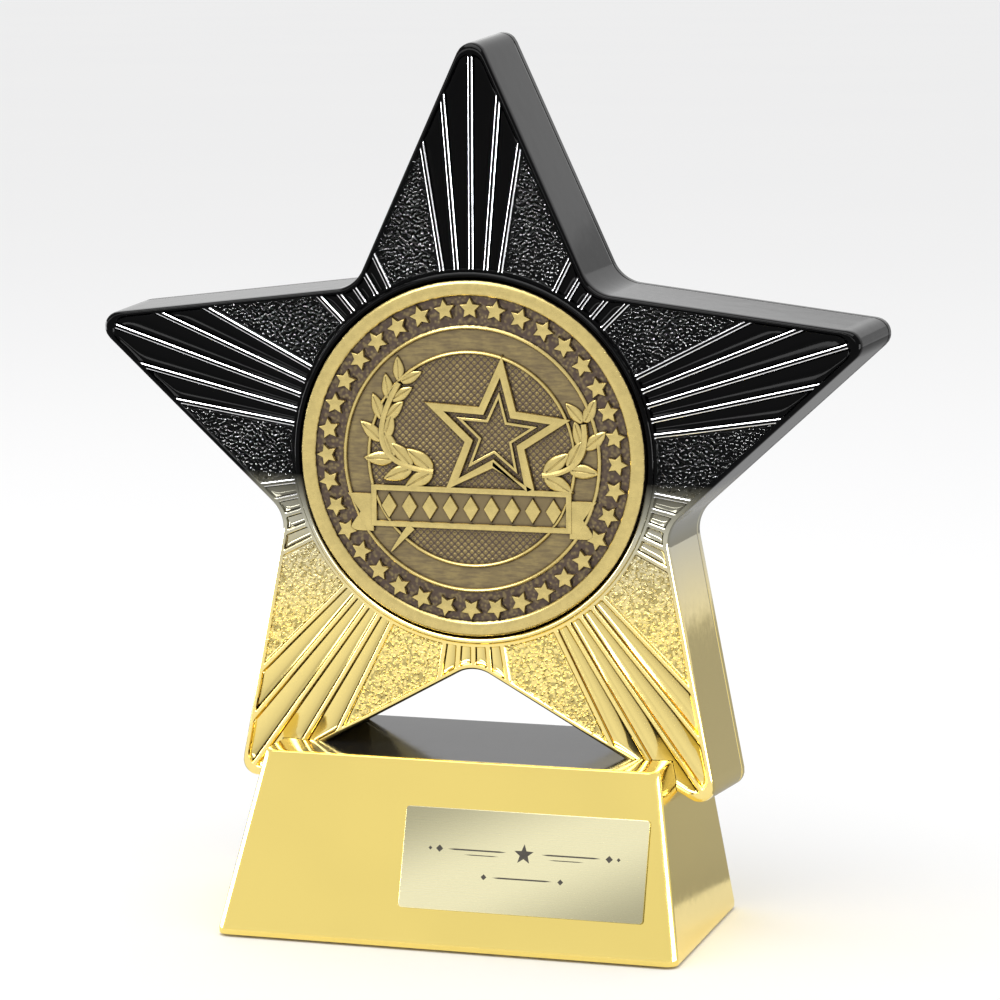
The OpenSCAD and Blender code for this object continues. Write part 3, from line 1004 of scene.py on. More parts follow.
@dataclass
class PanelPebbles:
    """The raised grains of the star's panels, strewn over the front shell's own panel faces."""

    shell: bpy.types.Object
    bead: tuple = (0.38, 0.24, 0.22)
    gap: float = 0.6
    split_z: float = 76.0
    seed: int = 7

    def build(self, name: str, upper: bool, material: bpy.types.Material) -> bpy.types.Object:
        """Builds the grains above or below the split, grown by a node tree.

        Args:
            name: The piece's name.
            upper: Whether to build those above the split.
            material: The plating.

        Returns:
            The piece.
        """
        seed = bpy.data.objects.new(name, self.shell.data.copy())
        bpy.context.scene.collection.objects.link(seed)
        g = GrowTree("panel_pebbles")
        mark = g.node("GeometryNodeInputNamedAttribute", {"Name": "pebble"}, data_type="FLOAT")
        inside = g.node("FunctionNodeCompare",
                        {"A": mark.outputs["Attribute"], "B": g.size("Panel Mark", "Float", 0.99)},
                        operation="GREATER_THAN", data_type="FLOAT")
        place = g.node("ShaderNodeSeparateXYZ", {0: g.node("GeometryNodeInputPosition").outputs[0]})
        level = g.node("FunctionNodeCompare",
                       {"A": place.outputs[2], "B": g.size("Split Height", "Float", self.split_z * MM)},
                       operation="GREATER_EQUAL" if upper else "LESS_THAN", data_type="FLOAT")
        chosen = g.node("FunctionNodeBooleanMath", {0: inside.outputs[0], 1: level.outputs[0]},
                        operation="AND")
        grains = g.node("GeometryNodeDistributePointsOnFaces",
                        {"Mesh": g.ins.outputs["Geometry"], "Selection": chosen.outputs[0],
                                                                "Distance Min": g.size("Gap", "Float",
                                                                        self.gap * MM),
                                                                "Density Max": g.size("Density", "Float",
                                                                        9e6),
                                                                "Seed": g.size("Seed", "Int", self.seed)},
                        distribute_method="POISSON")
        bead = g.node("GeometryNodeMeshIcoSphere", {"Radius": 1.0, "Subdivisions": 1})
        shaped = g.node("GeometryNodeTransform",
                        {"Geometry": bead.outputs[0],
                         "Scale": g.size("Bead", "Vector", tuple(x * MM for x in self.bead))})
        smooth = g.node("GeometryNodeSetShadeSmooth", {"Geometry": shaped.outputs[0]})
        spin = g.node("FunctionNodeRandomValue",
                      {"Min": (0.0, 0.0, 0.0), "Max": (0.0, math.pi, 0.0), "Seed": self.seed + 1},
                      data_type="FLOAT_VECTOR")
        grow = g.node("FunctionNodeRandomValue",
                      {"Min": (0.7, 0.8, 0.7), "Max": (1.3, 1.1, 1.2), "Seed": self.seed + 2},
                      data_type="FLOAT_VECTOR")
        made = g.node("GeometryNodeInstanceOnPoints",
                      {"Points": grains.outputs[0], "Instance": smooth.outputs[0],
                                                       "Rotation": spin.outputs[0], "Scale": grow.outputs[0]})
        obj = g.grow(seed, made.outputs[0], material)
        return fit_out(obj)


@dataclass
class StarBack:
    """The back cover, a flat star with five counterbored screw holes."""

    outline: StarOutline
    place: StarPlace
    growth: float = 0.019 / 20
    near: float = 18.05
    far: float = 20.0
    edge_round: float = 0.5
    screw_r: float = 46.0
    bore_r: float = 2.6
    bore: float = 1.4

    def build(self, material: bpy.types.Material, notch: bpy.types.Object) -> bpy.types.Object:
        """Builds the cover.

        Args:
            material: The plating.
            notch: The shape of the base, which is cut away.

        Returns:
            The piece.
        """
        o = self.outline
        angle = np.concatenate([90 + TURN * k
                                + np.concatenate([np.linspace(-2.4, 2.4, 13), np.linspace(3.5, 30, 12),
                                                                 np.linspace(31.2, 40.8, 13),
                                                                         np.linspace(42, 68.5, 12)])
                                for k in range(POINTS)])
        e = self.edge_round
        rows = [(0.3, self.near, 0), (0.98, self.near, 0), (1.0, self.near, 0.12), (1.0, self.near + 0.15, 0)]
        rows += [(1.0, self.far - e + e * math.sin(math.radians(a)), e * (1 - math.cos(math.radians(a))))
                 for a in (0, 22.5, 45, 67.5, 90)]
        rows += [(1.0, self.far, e + 0.4), (0.7, self.far, 0), (0.3, self.far, 0)]
        rings = []
        for share, back, inset in rows:
            r = o.radius(angle) * share * (1 + self.growth * back) * (1 - inset / o.edge_d)
            a = np.radians(angle)
            rings.append(np.stack([r * np.cos(a), r * np.sin(a), np.full(len(r), -back)], 1))
        verts, faces = lofted(rings, True, True)
        obj = new_piece("star_back", self.place.put(verts), faces, Slot.STAR, material, smooth=False)
        bores = []
        for k in range(POINTS):
            a = math.radians(90 + TURN * k)
            ring = np.radians(np.arange(0, 360, 10))
            at = np.array([self.screw_r * math.cos(a), self.screw_r * math.sin(a)])
            hole = [np.stack([at[0] + r * np.cos(ring), at[1] + r * np.sin(ring), np.full(36, w)], 1)
                    for r, w in ((self.bore_r, -self.far + self.bore), (self.bore_r, -self.far + 0.2),
                                 (self.bore_r + 0.25, -self.far - 0.05), (self.bore_r + 0.25, -self.far - 1))]
            v, f = lofted(hole, True, True)
            bores.append(new_piece(f"bore_{k}", self.place.put(v), f, Slot.STAR, material, smooth=False))
        cut_away(obj, bores + [notch])
        shade(obj, 34.0)
        even_normals(obj)
        return fit_out(obj, ["star_back_cover"])


# ------------------------------------------------------------------ the medal


def five_point(r: float, ratio: float = 0.42, turn: float = 0.0) -> np.ndarray:
    """Corners of a five-pointed star.

    Args:
        r: Radius of its points.
        ratio: Radius of its inner corners over that.
        turn: Turn from upright, in degrees.

    Returns:
        Ten points, anticlockwise.
    """
    a = np.radians(90 + turn + 36 * np.arange(10))
    rr = np.where(np.arange(10) % 2 == 0, r, r * ratio)
    return np.stack([rr * np.cos(a), rr * np.sin(a)], 1)


def inset(outline: np.ndarray, by: float) -> np.ndarray:
    """Moves the sides of an anticlockwise outline inwards.

    Args:
        outline: Its corners.
        by: How far.

    Returns:
        The moved corners.
    """
    before = outline - np.roll(outline, 1, 0)
    after = np.roll(outline, -1, 0) - outline
    n1 = np.stack([-before[:, 1], before[:, 0]], 1) / np.linalg.norm(before, axis=1)[:, None]
    n2 = np.stack([-after[:, 1], after[:, 0]], 1) / np.linalg.norm(after, axis=1)[:, None]
    mid = n1 + n2
    return outline + mid * (by * 2 / (mid**2).sum(1))[:, None]


def raised(outline: np.ndarray, low: float, high: float, round_by: float,
           hole: np.ndarray = None) -> tuple[np.ndarray, list]:
    """A raised shape with a rounded shoulder, with or without a hole.

    Args:
        outline: Its corners, anticlockwise.
        low: Height of its foot.
        high: Height of its top.
        round_by: Width of the shoulder.
        hole: Corners of the hole, as many as the outline has, or None.

    Returns:
        The corners and the faces.
    """
    steps = ((0.0, 0.0), (0.0, 0.55), (0.3, 0.86), (1.0, 1.0))

    def level(ring: np.ndarray, w: float) -> np.ndarray:
        """Returns a ring's corners at one height.

        Args:
            ring: The corners.
            w: The height.
        """
        return np.column_stack([ring, np.full(len(ring), w)])

    rows = [level(inset(outline, round_by * s), low + (high - low) * t) for s, t in steps]
    if hole is None:
        rows = rows[::-1]
        verts = np.concatenate(rows)
        n = len(outline)
        top = [list(range(n))]
        _, faces = lofted(rows, False, False)
        bottom = [list(range((len(rows) - 1) * n, len(rows) * n))[::-1]]
        return verts, faces + top + bottom
    inner = [level(inset(hole, -round_by * s), low + (high - low) * t) for s, t in steps]
    rows = inner + rows[::-1]
    verts, faces = lofted(rows, False, False)
    n, m = len(outline), len(rows)
    faces += [[(m - 1) * n + j, j, (j + 1) % n, (m - 1) * n + (j + 1) % n] for j in range(n)]
    return verts, faces


class GrowTree:
    """A Geometry Nodes tree with named inputs, made in code."""

    def __init__(self, name: str) -> None:
        """Starts the tree with a geometry input and output.

        Args:
            name: The tree's name.
        """
        self.tree = bpy.data.node_groups.new(name, "GeometryNodeTree")
        self.tree.interface.new_socket("Geometry", in_out="INPUT", socket_type="NodeSocketGeometry")
        self.tree.interface.new_socket("Geometry", in_out="OUTPUT", socket_type="NodeSocketGeometry")
        self.ins = self.tree.nodes.new("NodeGroupInput")
        self.outs = self.tree.nodes.new("NodeGroupOutput")
        self.values: dict[str, tuple[str, object]] = {}

    def size(self, name: str, kind: str, value: object) -> bpy.types.NodeSocket:
        """Adds a named input.

        Args:
            name: Its name.
            kind: Float, Int, Vector or Material.
            value: What the modifier gives it.

        Returns:
            The socket inside the tree.
        """
        item = self.tree.interface.new_socket(name, in_out="INPUT", socket_type="NodeSocket" + kind)
        self.values[name] = (item.identifier, value)
        return self.ins.outputs[name]

    def node(self, kind: str, inputs: dict = None, **settings: object) -> bpy.types.Node:
        """Adds a node.

        Args:
            kind: Blender's node type.
            inputs: Constants or sockets by input name or index.
            **settings: Properties of the node.

        Returns:
            The node.
        """
        node = self.tree.nodes.new(kind)
        for key, value in settings.items():
            setattr(node, key, value)
        for key, value in (inputs or {}).items():
            if isinstance(value, bpy.types.NodeSocket):
                self.tree.links.new(value, node.inputs[key])
            else:
                node.inputs[key].default_value = value
        return node

    def grow(self, seed_mesh: bpy.types.Object, made: bpy.types.NodeSocket,
             material: bpy.types.Material) -> bpy.types.Object:
        """Ends the tree and runs it on an object.

        Args:
            seed_mesh: The object whose mesh is repeated.
            made: The instances.
            material: Their material.

        Returns:
            The object, now a plain mesh of the result.
        """
        finish = self.size("Finish", "Material", material)
        real = self.node("GeometryNodeRealizeInstances", {0: made})
        dressed = self.node("GeometryNodeSetMaterial", {"Geometry": real.outputs[0], "Material": finish})
        self.tree.links.new(dressed.outputs[0], self.outs.inputs[0])
        tool = seed_mesh.modifiers.new("grow", "NODES")
        tool.node_group = self.tree
        for identifier, value in self.values.values():
            tool[identifier] = value
        return baked(seed_mesh)


@dataclass
class Medal:
    """The round relief medal: ring of stars, laurel sprays, a large star and a blank ribbon."""

    place: StarPlace
    radius: float = 30.0
    foot: float = -1.6
    ground: float = 0.2
    top: float = 1.0
    rim: float = 2.55
    ring_count: int = 36
    ring_r: float = 25.35
    ring_star: float = 2.0
    rings: tuple = ((22.2, 0.3), (18.0, 0.3))
    star_at: tuple = (4.35, 4.2)
    star_r: float = 13.7
    star_turn: float = -5.0
    band: float = 1.45
    stud_pitch: float = 0.85
    ribbon_y: float = -8.3
    ribbon_half: tuple = (17.6, 3.6)
    parts: list = field(default_factory=list)

    def _add(self, name: str, shape: tuple, material: bpy.types.Material) -> bpy.types.Object:
        """Keeps a part, drawn in the star's frame.

        Args:
            name: Its name.
            shape: Corners and faces.
            material: Its metal.

        Returns:
            The part.
        """
        obj = new_piece(name, self.place.put(shape[0]), shape[1], Slot.MEDAL, material, 40.0)
        self.parts.append(obj)
        return obj

    def _disc(self) -> tuple[np.ndarray, list]:
        """Returns the blank: foot, rounded rim, ground and two ridge rings."""
        g, t, r = self.ground, self.top, self.radius
        profile = [(0.1 * r, g), (0.3 * r, g)]
        for at, half in reversed(self.rings):
            profile += [(at + x * half, g + 0.62 * h) for x,
                        h in ((-1.4, 0.0), (-1.0, 0.5), (-0.5, 0.9), (0.0, 1.0), (0.5, 0.9), (1.0, 0.5),
                              (1.4, 0.0))]
        inner = r - self.rim
        profile += [(inner - 0.05, g), (inner + 0.05, g + 0.35), (inner + 0.2, t - 0.2),
                    (inner + 0.5, t - 0.05), (inner + 0.9, t)]
        profile += [(r - 1.3, t), (r - 0.6, t - 0.04), (r - 0.25, t - 0.16), (r - 0.06, t - 0.38),
                    (r, t - 0.7), (r, -1.2), (r - 0.3, self.foot), (0.5 * r, self.foot)]
        a = np.radians(np.arange(0, 360, 1.5))
        rows = [np.stack([q * np.cos(a), q * np.sin(a), np.full(len(a), w)], 1) for q, w in profile]
        return lofted(rows, True, True)

    def _ring_stars(self, material: bpy.types.Material) -> bpy.types.Object:
        """Returns the ring of small stars, grown by a node tree.

        Args:
            material: The metal.
        """
        verts, faces = raised(five_point(self.ring_star, 0.5), self.ground - 0.05, self.top - 0.02, 0.35)
        seed = new_piece("ring_stars", verts * MM, faces, Slot.MEDAL, material, 40.0)
        g = GrowTree("ring_of_stars")
        count = g.size("Count", "Int", self.ring_count)
        ring = g.node("GeometryNodeMeshCircle",
                      {"Vertices": count, "Radius": g.size("Ring Radius", "Float", self.ring_r * MM)})
        step = g.node("ShaderNodeMath", {0: 2 * math.pi, 1: count}, operation="DIVIDE")
        angle = g.node("ShaderNodeMath",
                       {0: g.node("GeometryNodeInputIndex").outputs[0], 1: step.outputs[0], 2: -math.pi / 2},
                       operation="MULTIPLY_ADD")
        turn = g.node("ShaderNodeCombineXYZ", {2: angle.outputs[0]})
        made = g.node("GeometryNodeInstanceOnPoints",
                      {"Points": ring.outputs[0], "Instance": g.ins.outputs["Geometry"],
                       "Rotation": turn.outputs[0]})
        return self._placed(g.grow(seed, made.outputs[0], material))

    def _placed(self, obj: bpy.types.Object) -> bpy.types.Object:
        """Moves a mesh from the star's frame, in metres, to the model's, and keeps it.

        Args:
            obj: The object.

        Returns:
            The object.
        """
        n = len(obj.data.vertices)
        flat = np.zeros(n * 3)
        obj.data.vertices.foreach_get("co", flat)
        obj.data.vertices.foreach_set("co", self.place.put(flat.reshape(n, 3) / MM).ravel())
        shade(obj, 40.0)
        self.parts.append(obj)
        return obj

    def _leaf(self) -> tuple[np.ndarray, list]:
        """Returns one laurel leaf along +u, pillowed, with a mid rib."""
        t = np.linspace(0, 1, 9)[1:-1]
        width = 1.45 * np.sin(np.pi * t**0.8) ** 0.9
        length = 6.2
        low = self.ground - 0.05
        rows = []
        for share, w in ((1.0, low), (1.0, 0.5), (0.82, 0.8), (0.45, 0.97), (0.12, 0.99), (0.05, 0.9)):
            up = np.stack([length * t, width * share], 1)
            down = np.stack([length * t[::-1], -width[::-1] * share], 1)
            tip = 0.5 + (0.5) * (0.6 + 0.4 * share)
            ring = np.vstack([[[length * tip, 0]], up[::-1], [[length * (1 - tip), 0]], down[::-1]])
            rows.append(np.column_stack([ring, np.full(len(ring), w)]))
        verts, faces = lofted(rows[::-1], True, True)
        return verts, faces

    def _spray(self, name: str, start: tuple, middle: tuple, end: tuple, count: int,
               material: bpy.types.Material) -> bpy.types.Object:
        """Returns a laurel spray along a curve, grown by a node tree.

        Args:
            name: Its name.
            start: Where the stem starts, in the star's frame.
            middle: The curve's control point.
            end: Where the stem ends.
            count: Pairs of leaves.
            material: The metal.
        """
        verts, faces = self._leaf()
        seed = new_piece(name, verts * MM, faces, Slot.MEDAL, material, 40.0)
        g = GrowTree("laurel_spray")

        def at(p: Sequence[float]) -> tuple:
            """Returns a point of the medal's plane in metres.

            Args:
                p: The point in millimetres.
            """
            return (p[0] * MM, p[1] * MM, 0.0)

        stem = g.node("GeometryNodeCurveQuadraticBezier",
                      {"Resolution": 24, "Start": g.size("Start", "Vector", at(start)),
                                                           "Middle": g.size("Middle", "Vector", at(middle)),
                                                           "End": g.size("End", "Vector", at(end))})
        pairs = g.size("Pairs", "Int", count)
        spots = g.node("GeometryNodeCurveToPoints", {"Curve": stem.outputs[0], "Count": pairs})
        index = g.node("GeometryNodeInputIndex").outputs[0]
        along = g.node("ShaderNodeMath", {0: index, 1: pairs}, operation="DIVIDE")
        shrink = g.node("ShaderNodeMath", {0: along.outputs[0], 1: -0.3, 2: 1.0}, operation="MULTIPLY_ADD")
        parts = g.node("ShaderNodeSeparateXYZ", {0: spots.outputs["Tangent"]})
        heading = g.node("ShaderNodeMath", {0: parts.outputs[1], 1: parts.outputs[0]}, operation="ARCTAN2")
        spread = g.size("Leaf Spread", "Float", math.radians(34))
        join = g.node("GeometryNodeJoinGeometry")
        for side in (1.0, -1.0):
            lean = g.node("ShaderNodeMath", {0: spread, 1: side, 2: heading.outputs[0]},
                          operation="MULTIPLY_ADD")
            turn = g.node("ShaderNodeCombineXYZ", {2: lean.outputs[0]})
            leaf = g.node("GeometryNodeInstanceOnPoints",
                          {"Points": spots.outputs[0], "Instance": g.ins.outputs["Geometry"],
                                                           "Rotation": turn.outputs[0],
                                                           "Scale": shrink.outputs[0]})
            g.tree.links.new(leaf.outputs[0], join.inputs[0])
        ring = g.node("GeometryNodeCurvePrimitiveCircle",
                      {"Resolution": 8, "Radius": g.size("Stem Radius", "Float", 0.6 * MM)})
        rod = g.node("GeometryNodeCurveToMesh",
                     {"Curve": stem.outputs[0], "Profile Curve": ring.outputs[0], "Fill Caps": True})
        lift = g.node("GeometryNodeTransform",
                      {"Geometry": rod.outputs[0], "Translation": (0.0, 0.0, (self.ground + 0.3) * MM)})
        g.tree.links.new(lift.outputs[0], join.inputs[0])
        return self._placed(g.grow(seed, join.outputs[0], material))

    def _studs(self, material: bpy.types.Material) -> bpy.types.Object:
        """Returns the diamond studs of the middle, grown by a node tree.

        Args:
            material: The metal.
        """
        half, low, high = 0.36 * self.stud_pitch, self.ground - 0.02, self.ground + 0.13
        rows = [np.array([[half, 0, w], [0, half, w], [-half, 0, w], [0, -half, w]]) * (k, k, 1) for k,
                w in ((1.0, low), (0.35, high))]
        verts, faces = lofted(rows[::-1], True, False)
        seed = new_piece("middle_studs", verts * MM, faces, Slot.MEDAL, material, smooth=False)
        g = GrowTree("stud_grid")
        steps = 2 * int(self.rings[1][0] / self.stud_pitch)
        side = g.size("Side", "Float", steps * self.stud_pitch * MM)
        count = g.size("Count", "Int", steps + 1)
        grid = g.node("GeometryNodeMeshGrid",
                      {"Size X": side, "Size Y": side, "Vertices X": count, "Vertices Y": count})
        turned = g.node("GeometryNodeTransform",
                        {"Geometry": grid.outputs[0], "Rotation": (0.0, 0.0, math.pi / 4)})
        away = g.node("ShaderNodeVectorMath", {0: g.node("GeometryNodeInputPosition").outputs[0]},
                      operation="LENGTH")
        near = g.node("FunctionNodeCompare",
                      {"A": away.outputs["Value"],
                       "B": g.size("Reach", "Float", (self.rings[1][0] - 0.75) * MM)}, operation="LESS_THAN",
                      data_type="FLOAT")
        made = g.node("GeometryNodeInstanceOnPoints",
                      {"Points": turned.outputs[0], "Selection": near.outputs[0],
                       "Instance": g.ins.outputs["Geometry"],
                                                       "Rotation": (0.0, 0.0, math.pi / 4)})
        return self._placed(g.grow(seed, made.outputs[0], material))

    def _lozenges(self, material: bpy.types.Material) -> bpy.types.Object:
        """Returns the row of lozenges on the ribbon, grown by a node tree.

        Args:
            material: The metal.
        """
        shape = np.array([[1.45, 0], [0, 2.3], [-1.45, 0], [0, -2.3]])
        verts, faces = raised(shape, self.ground - 0.05, self.top - 0.05, 0.5)
        seed = new_piece("ribbon_lozenges", verts * MM, faces, Slot.MEDAL, material, 20.0)
        g = GrowTree("ribbon_row")
        row = g.node("GeometryNodeMeshLine", {"Count": g.size("Count", "Int", 9),
                                              "Start Location": g.size("First", "Vector",
                                                      (-14.4 * MM, self.ribbon_y * MM, 0.0)),
                                              "Offset": g.size("Step", "Vector", (3.6 * MM, 0.0, 0.0))})
        made = g.node("GeometryNodeInstanceOnPoints",
                      {"Points": row.outputs[0], "Instance": g.ins.outputs["Geometry"]})
        return self._placed(g.grow(seed, made.outputs[0], material))

    def _big_star(self, material: bpy.types.Material) -> None:
        """Adds the large double-outlined star and its tapering tail.

        Args:
            material: The metal.
        """
        at = np.array(self.star_at)
        outer = five_point(self.star_r, 0.41, self.star_turn)
        hole, line = inset(outer, self.band), inset(outer, self.band + 0.65)
        tip = outer[4] + at
        limit = self.ribbon_y + self.ribbon_half[1] - 0.8 - at[1]
        outer[:, 1], hole[:, 1] = np.maximum(outer[:, 1], limit), np.maximum(hole[:, 1], limit + 0.9)
        self._add("star_band", raised(outer + at, self.ground - 0.05, self.top - 0.05, 0.45, hole + at),
                  material)
        self._add("star_line",
                  raised(line + at, self.ground - 0.05, self.ground + 0.55, 0.18, inset(line, 0.5) + at),
                  material)
        end = np.array([-14.1, -16.2])
        t = np.linspace(0, 1, 41)
        bend = np.array([-9.0, -9.6])
        path = ((1 - t) ** 2)[:, None] * (tip * 0.98 + at * 0.02) + (2 * t * (1 - t))[:,
                None] * bend + (t**2)[:, None] * end
        way = np.gradient(path, axis=0)
        side = np.stack([-way[:, 1], way[:, 0]], 1) / np.linalg.norm(way, axis=1)[:, None]
        half = (1.35 * (1 - t) ** 0.7 + 0.06)[:, None]
        below = path[:, 1] < self.ribbon_y - self.ribbon_half[1] + 0.4
        path, side, half = path[below], side[below], half[below]
        outline = np.vstack([path - side * half, (path + side * half)[::-1]])
        self._add("star_tail", raised(outline, self.ground - 0.05, self.top - 0.03, 0.05), material)

    def _ribbon(self, material: bpy.types.Material) -> None:
        """Adds the blank ribbon: its frame, its field and its two tails.

        Args:
            material: The metal.
        """
        hx, hy = self.ribbon_half
        y = self.ribbon_y
        frame = np.array([[-hx, y - hy], [hx, y - hy], [hx, y + hy], [-hx, y + hy]])
        self._add("ribbon_field", raised(inset(frame, 0.7), self.ground - 0.05, self.ground + 0.22, 0.05),
                  material)
        self._add("ribbon_frame", raised(frame, self.ground - 0.05, self.top, 0.35, inset(frame, 1.1)),
                  material)
        for s in (-1, 1):
            tail = np.array([[hx - 0.5, y - hy - 0.9], [hx + 4.3, y - hy - 0.9], [hx + 2.0, y - 1.2],
                             [hx + 4.3, y + hy - 1.6], [hx - 0.5, y + hy - 1.6]])
            tail[:, 0] *= s
            if s < 0:
                tail = tail[::-1]
            self._add(f"ribbon_tail_{'left' if s < 0 else 'right'}",
                      raised(tail, self.ground - 0.05, self.top - 0.2, 0.3), material)

    def build(self, material: bpy.types.Material) -> bpy.types.Object:
        """Builds the medal.

        Args:
            material: The metal.

        Returns:
            The piece.
        """
        self._add("medal_blank", self._disc(), material)
        self._ring_stars(material)
        self._studs(material)
        self._spray("spray_left", (-6.5, -2.2), (-21.0, -1.5), (-12.5, 12.6), 7, material)
        self._spray("spray_right", (12.5, -2.2), (21.0, -1.5), (19.6, 6.6), 4, material)
        self._big_star(material)
        self._ribbon(material)
        self._lozenges(material)
        obj = joined(self.parts, "relief_medal")
        return fit_out(obj, ["medal"])


# ------------------------------------------------------------------- the base


@dataclass
class Base:
    """The hollow plated base with its sloping front."""

    width: float = 80.0
    depth: float = 43.0
    foot: float = 0.4
    lip: float = 1.4
    top: float = 30.5
    end_lean: float = 5.5
    front_lean: float = 9.3
    back_lean: float = 0.8
    corner: float = 2.0
    edge: float = 0.35
    wall: float = 2.4

    @property
    def slope(self) -> float:
        """Lean of the front from upright, in degrees."""
        return math.degrees(math.atan(self.front_lean / (self.top - self.lip)))

    def ring(self, z: float, grow: float = 0.0) -> np.ndarray:
        """One closed ring round the base, anticlockwise from above.

        Args:
            z: Its height.
            grow: How far outside the skin it lies.

        Returns:
            Points in millimetres.
        """
        t = min(max((z - self.lip) / (self.top - self.lip), 0.0), 1.0)
        hx = self.width / 2 - self.end_lean * t + grow
        front = -self.depth / 2 + self.front_lean * t - grow
        back = self.depth / 2 - self.back_lean * t + grow
        r = max(self.corner + grow, 0.3)
        corners = (((hx - r, front + r), -90), ((hx - r, back - r), 0), ((-hx + r, back - r), 90),
                   ((-hx + r, front + r), 180))
        pts = []
        for (cx, cy), start in corners:
            for i in range(9):
                a = math.radians(start + 90 * i / 8)
                pts.append((cx + r * math.cos(a), cy + r * math.sin(a), z))
        return np.array(pts)

    def notch(self, name: str, grow: float = 0.05) -> bpy.types.Object:
        """Returns a closed copy of the base's outside, to cut the star's legs with.

        Args:
            name: The object's name.
            grow: How far it is grown.
        """
        rows = [self.ring(z, grow) for z in (self.foot - 1, self.lip, self.top)]
        rows[0][:, 2] -= 1
        rows[-1][:, 2] += grow
        verts, faces = lofted(rows, True, True)
        mesh = bpy.data.meshes.new(name)
        mesh.from_pydata([tuple(v) for v in verts * MM], [], [tuple(f[::-1]) for f in faces])
        obj = bpy.data.objects.new(name, mesh)
        bpy.context.scene.collection.objects.link(obj)
        return obj

    def build(self, material: bpy.types.Material) -> bpy.types.Object:
        """Builds the base.

        Args:
            material: The plating.

        Returns:
            The piece.
        """
        e = self.edge
        rows = [self.ring(self.foot, -self.wall), self.ring(self.foot, -0.5), self.ring(self.foot, -0.18),
                self.ring(self.foot + 0.06, -0.06), self.ring(self.foot + 0.2, 0.0)]
        rows += [self.ring(self.lip - 0.12), self.ring(self.lip + 0.1), self.ring(self.lip + 0.6),
                 self.ring(self.top - 1.0)]
        for a in (0, 22.5, 45, 67.5, 90):
            z = self.top - e * (1 - math.sin(math.radians(a)))
            rows.append(self.ring(z, -e * (1 - math.cos(math.radians(a)))))
        rows.append(self.ring(self.top, -e - 0.8))
        n = len(rows[0])
        verts, faces = lofted(rows, False, False)
        faces = [f[::-1] for f in faces]
        faces.append([(len(rows) - 1) * n + j for j in range(n)])
        inside = [self.ring(self.foot, -self.wall), self.ring(self.top - self.wall - 1, -self.wall)]
        inside[1][:, 2] = self.top - self.wall
        base = len(verts)
        more, skin = lofted(inside, False, False)
        verts = np.vstack([verts, more])
        faces += [[base + i for i in f] for f in skin]
        faces.append([base + n + j for j in range(n)][::-1])
        obj = new_piece("base_block", verts * MM, faces, Slot.BASE, material, smooth=False)
        weld = obj.modifiers.new("weld", "WELD")
        weld.merge_threshold = 0.00001
        baked(obj)
        shade(obj, 34.0)
        even_normals(obj)
        return fit_out(obj, ["base_shell"])


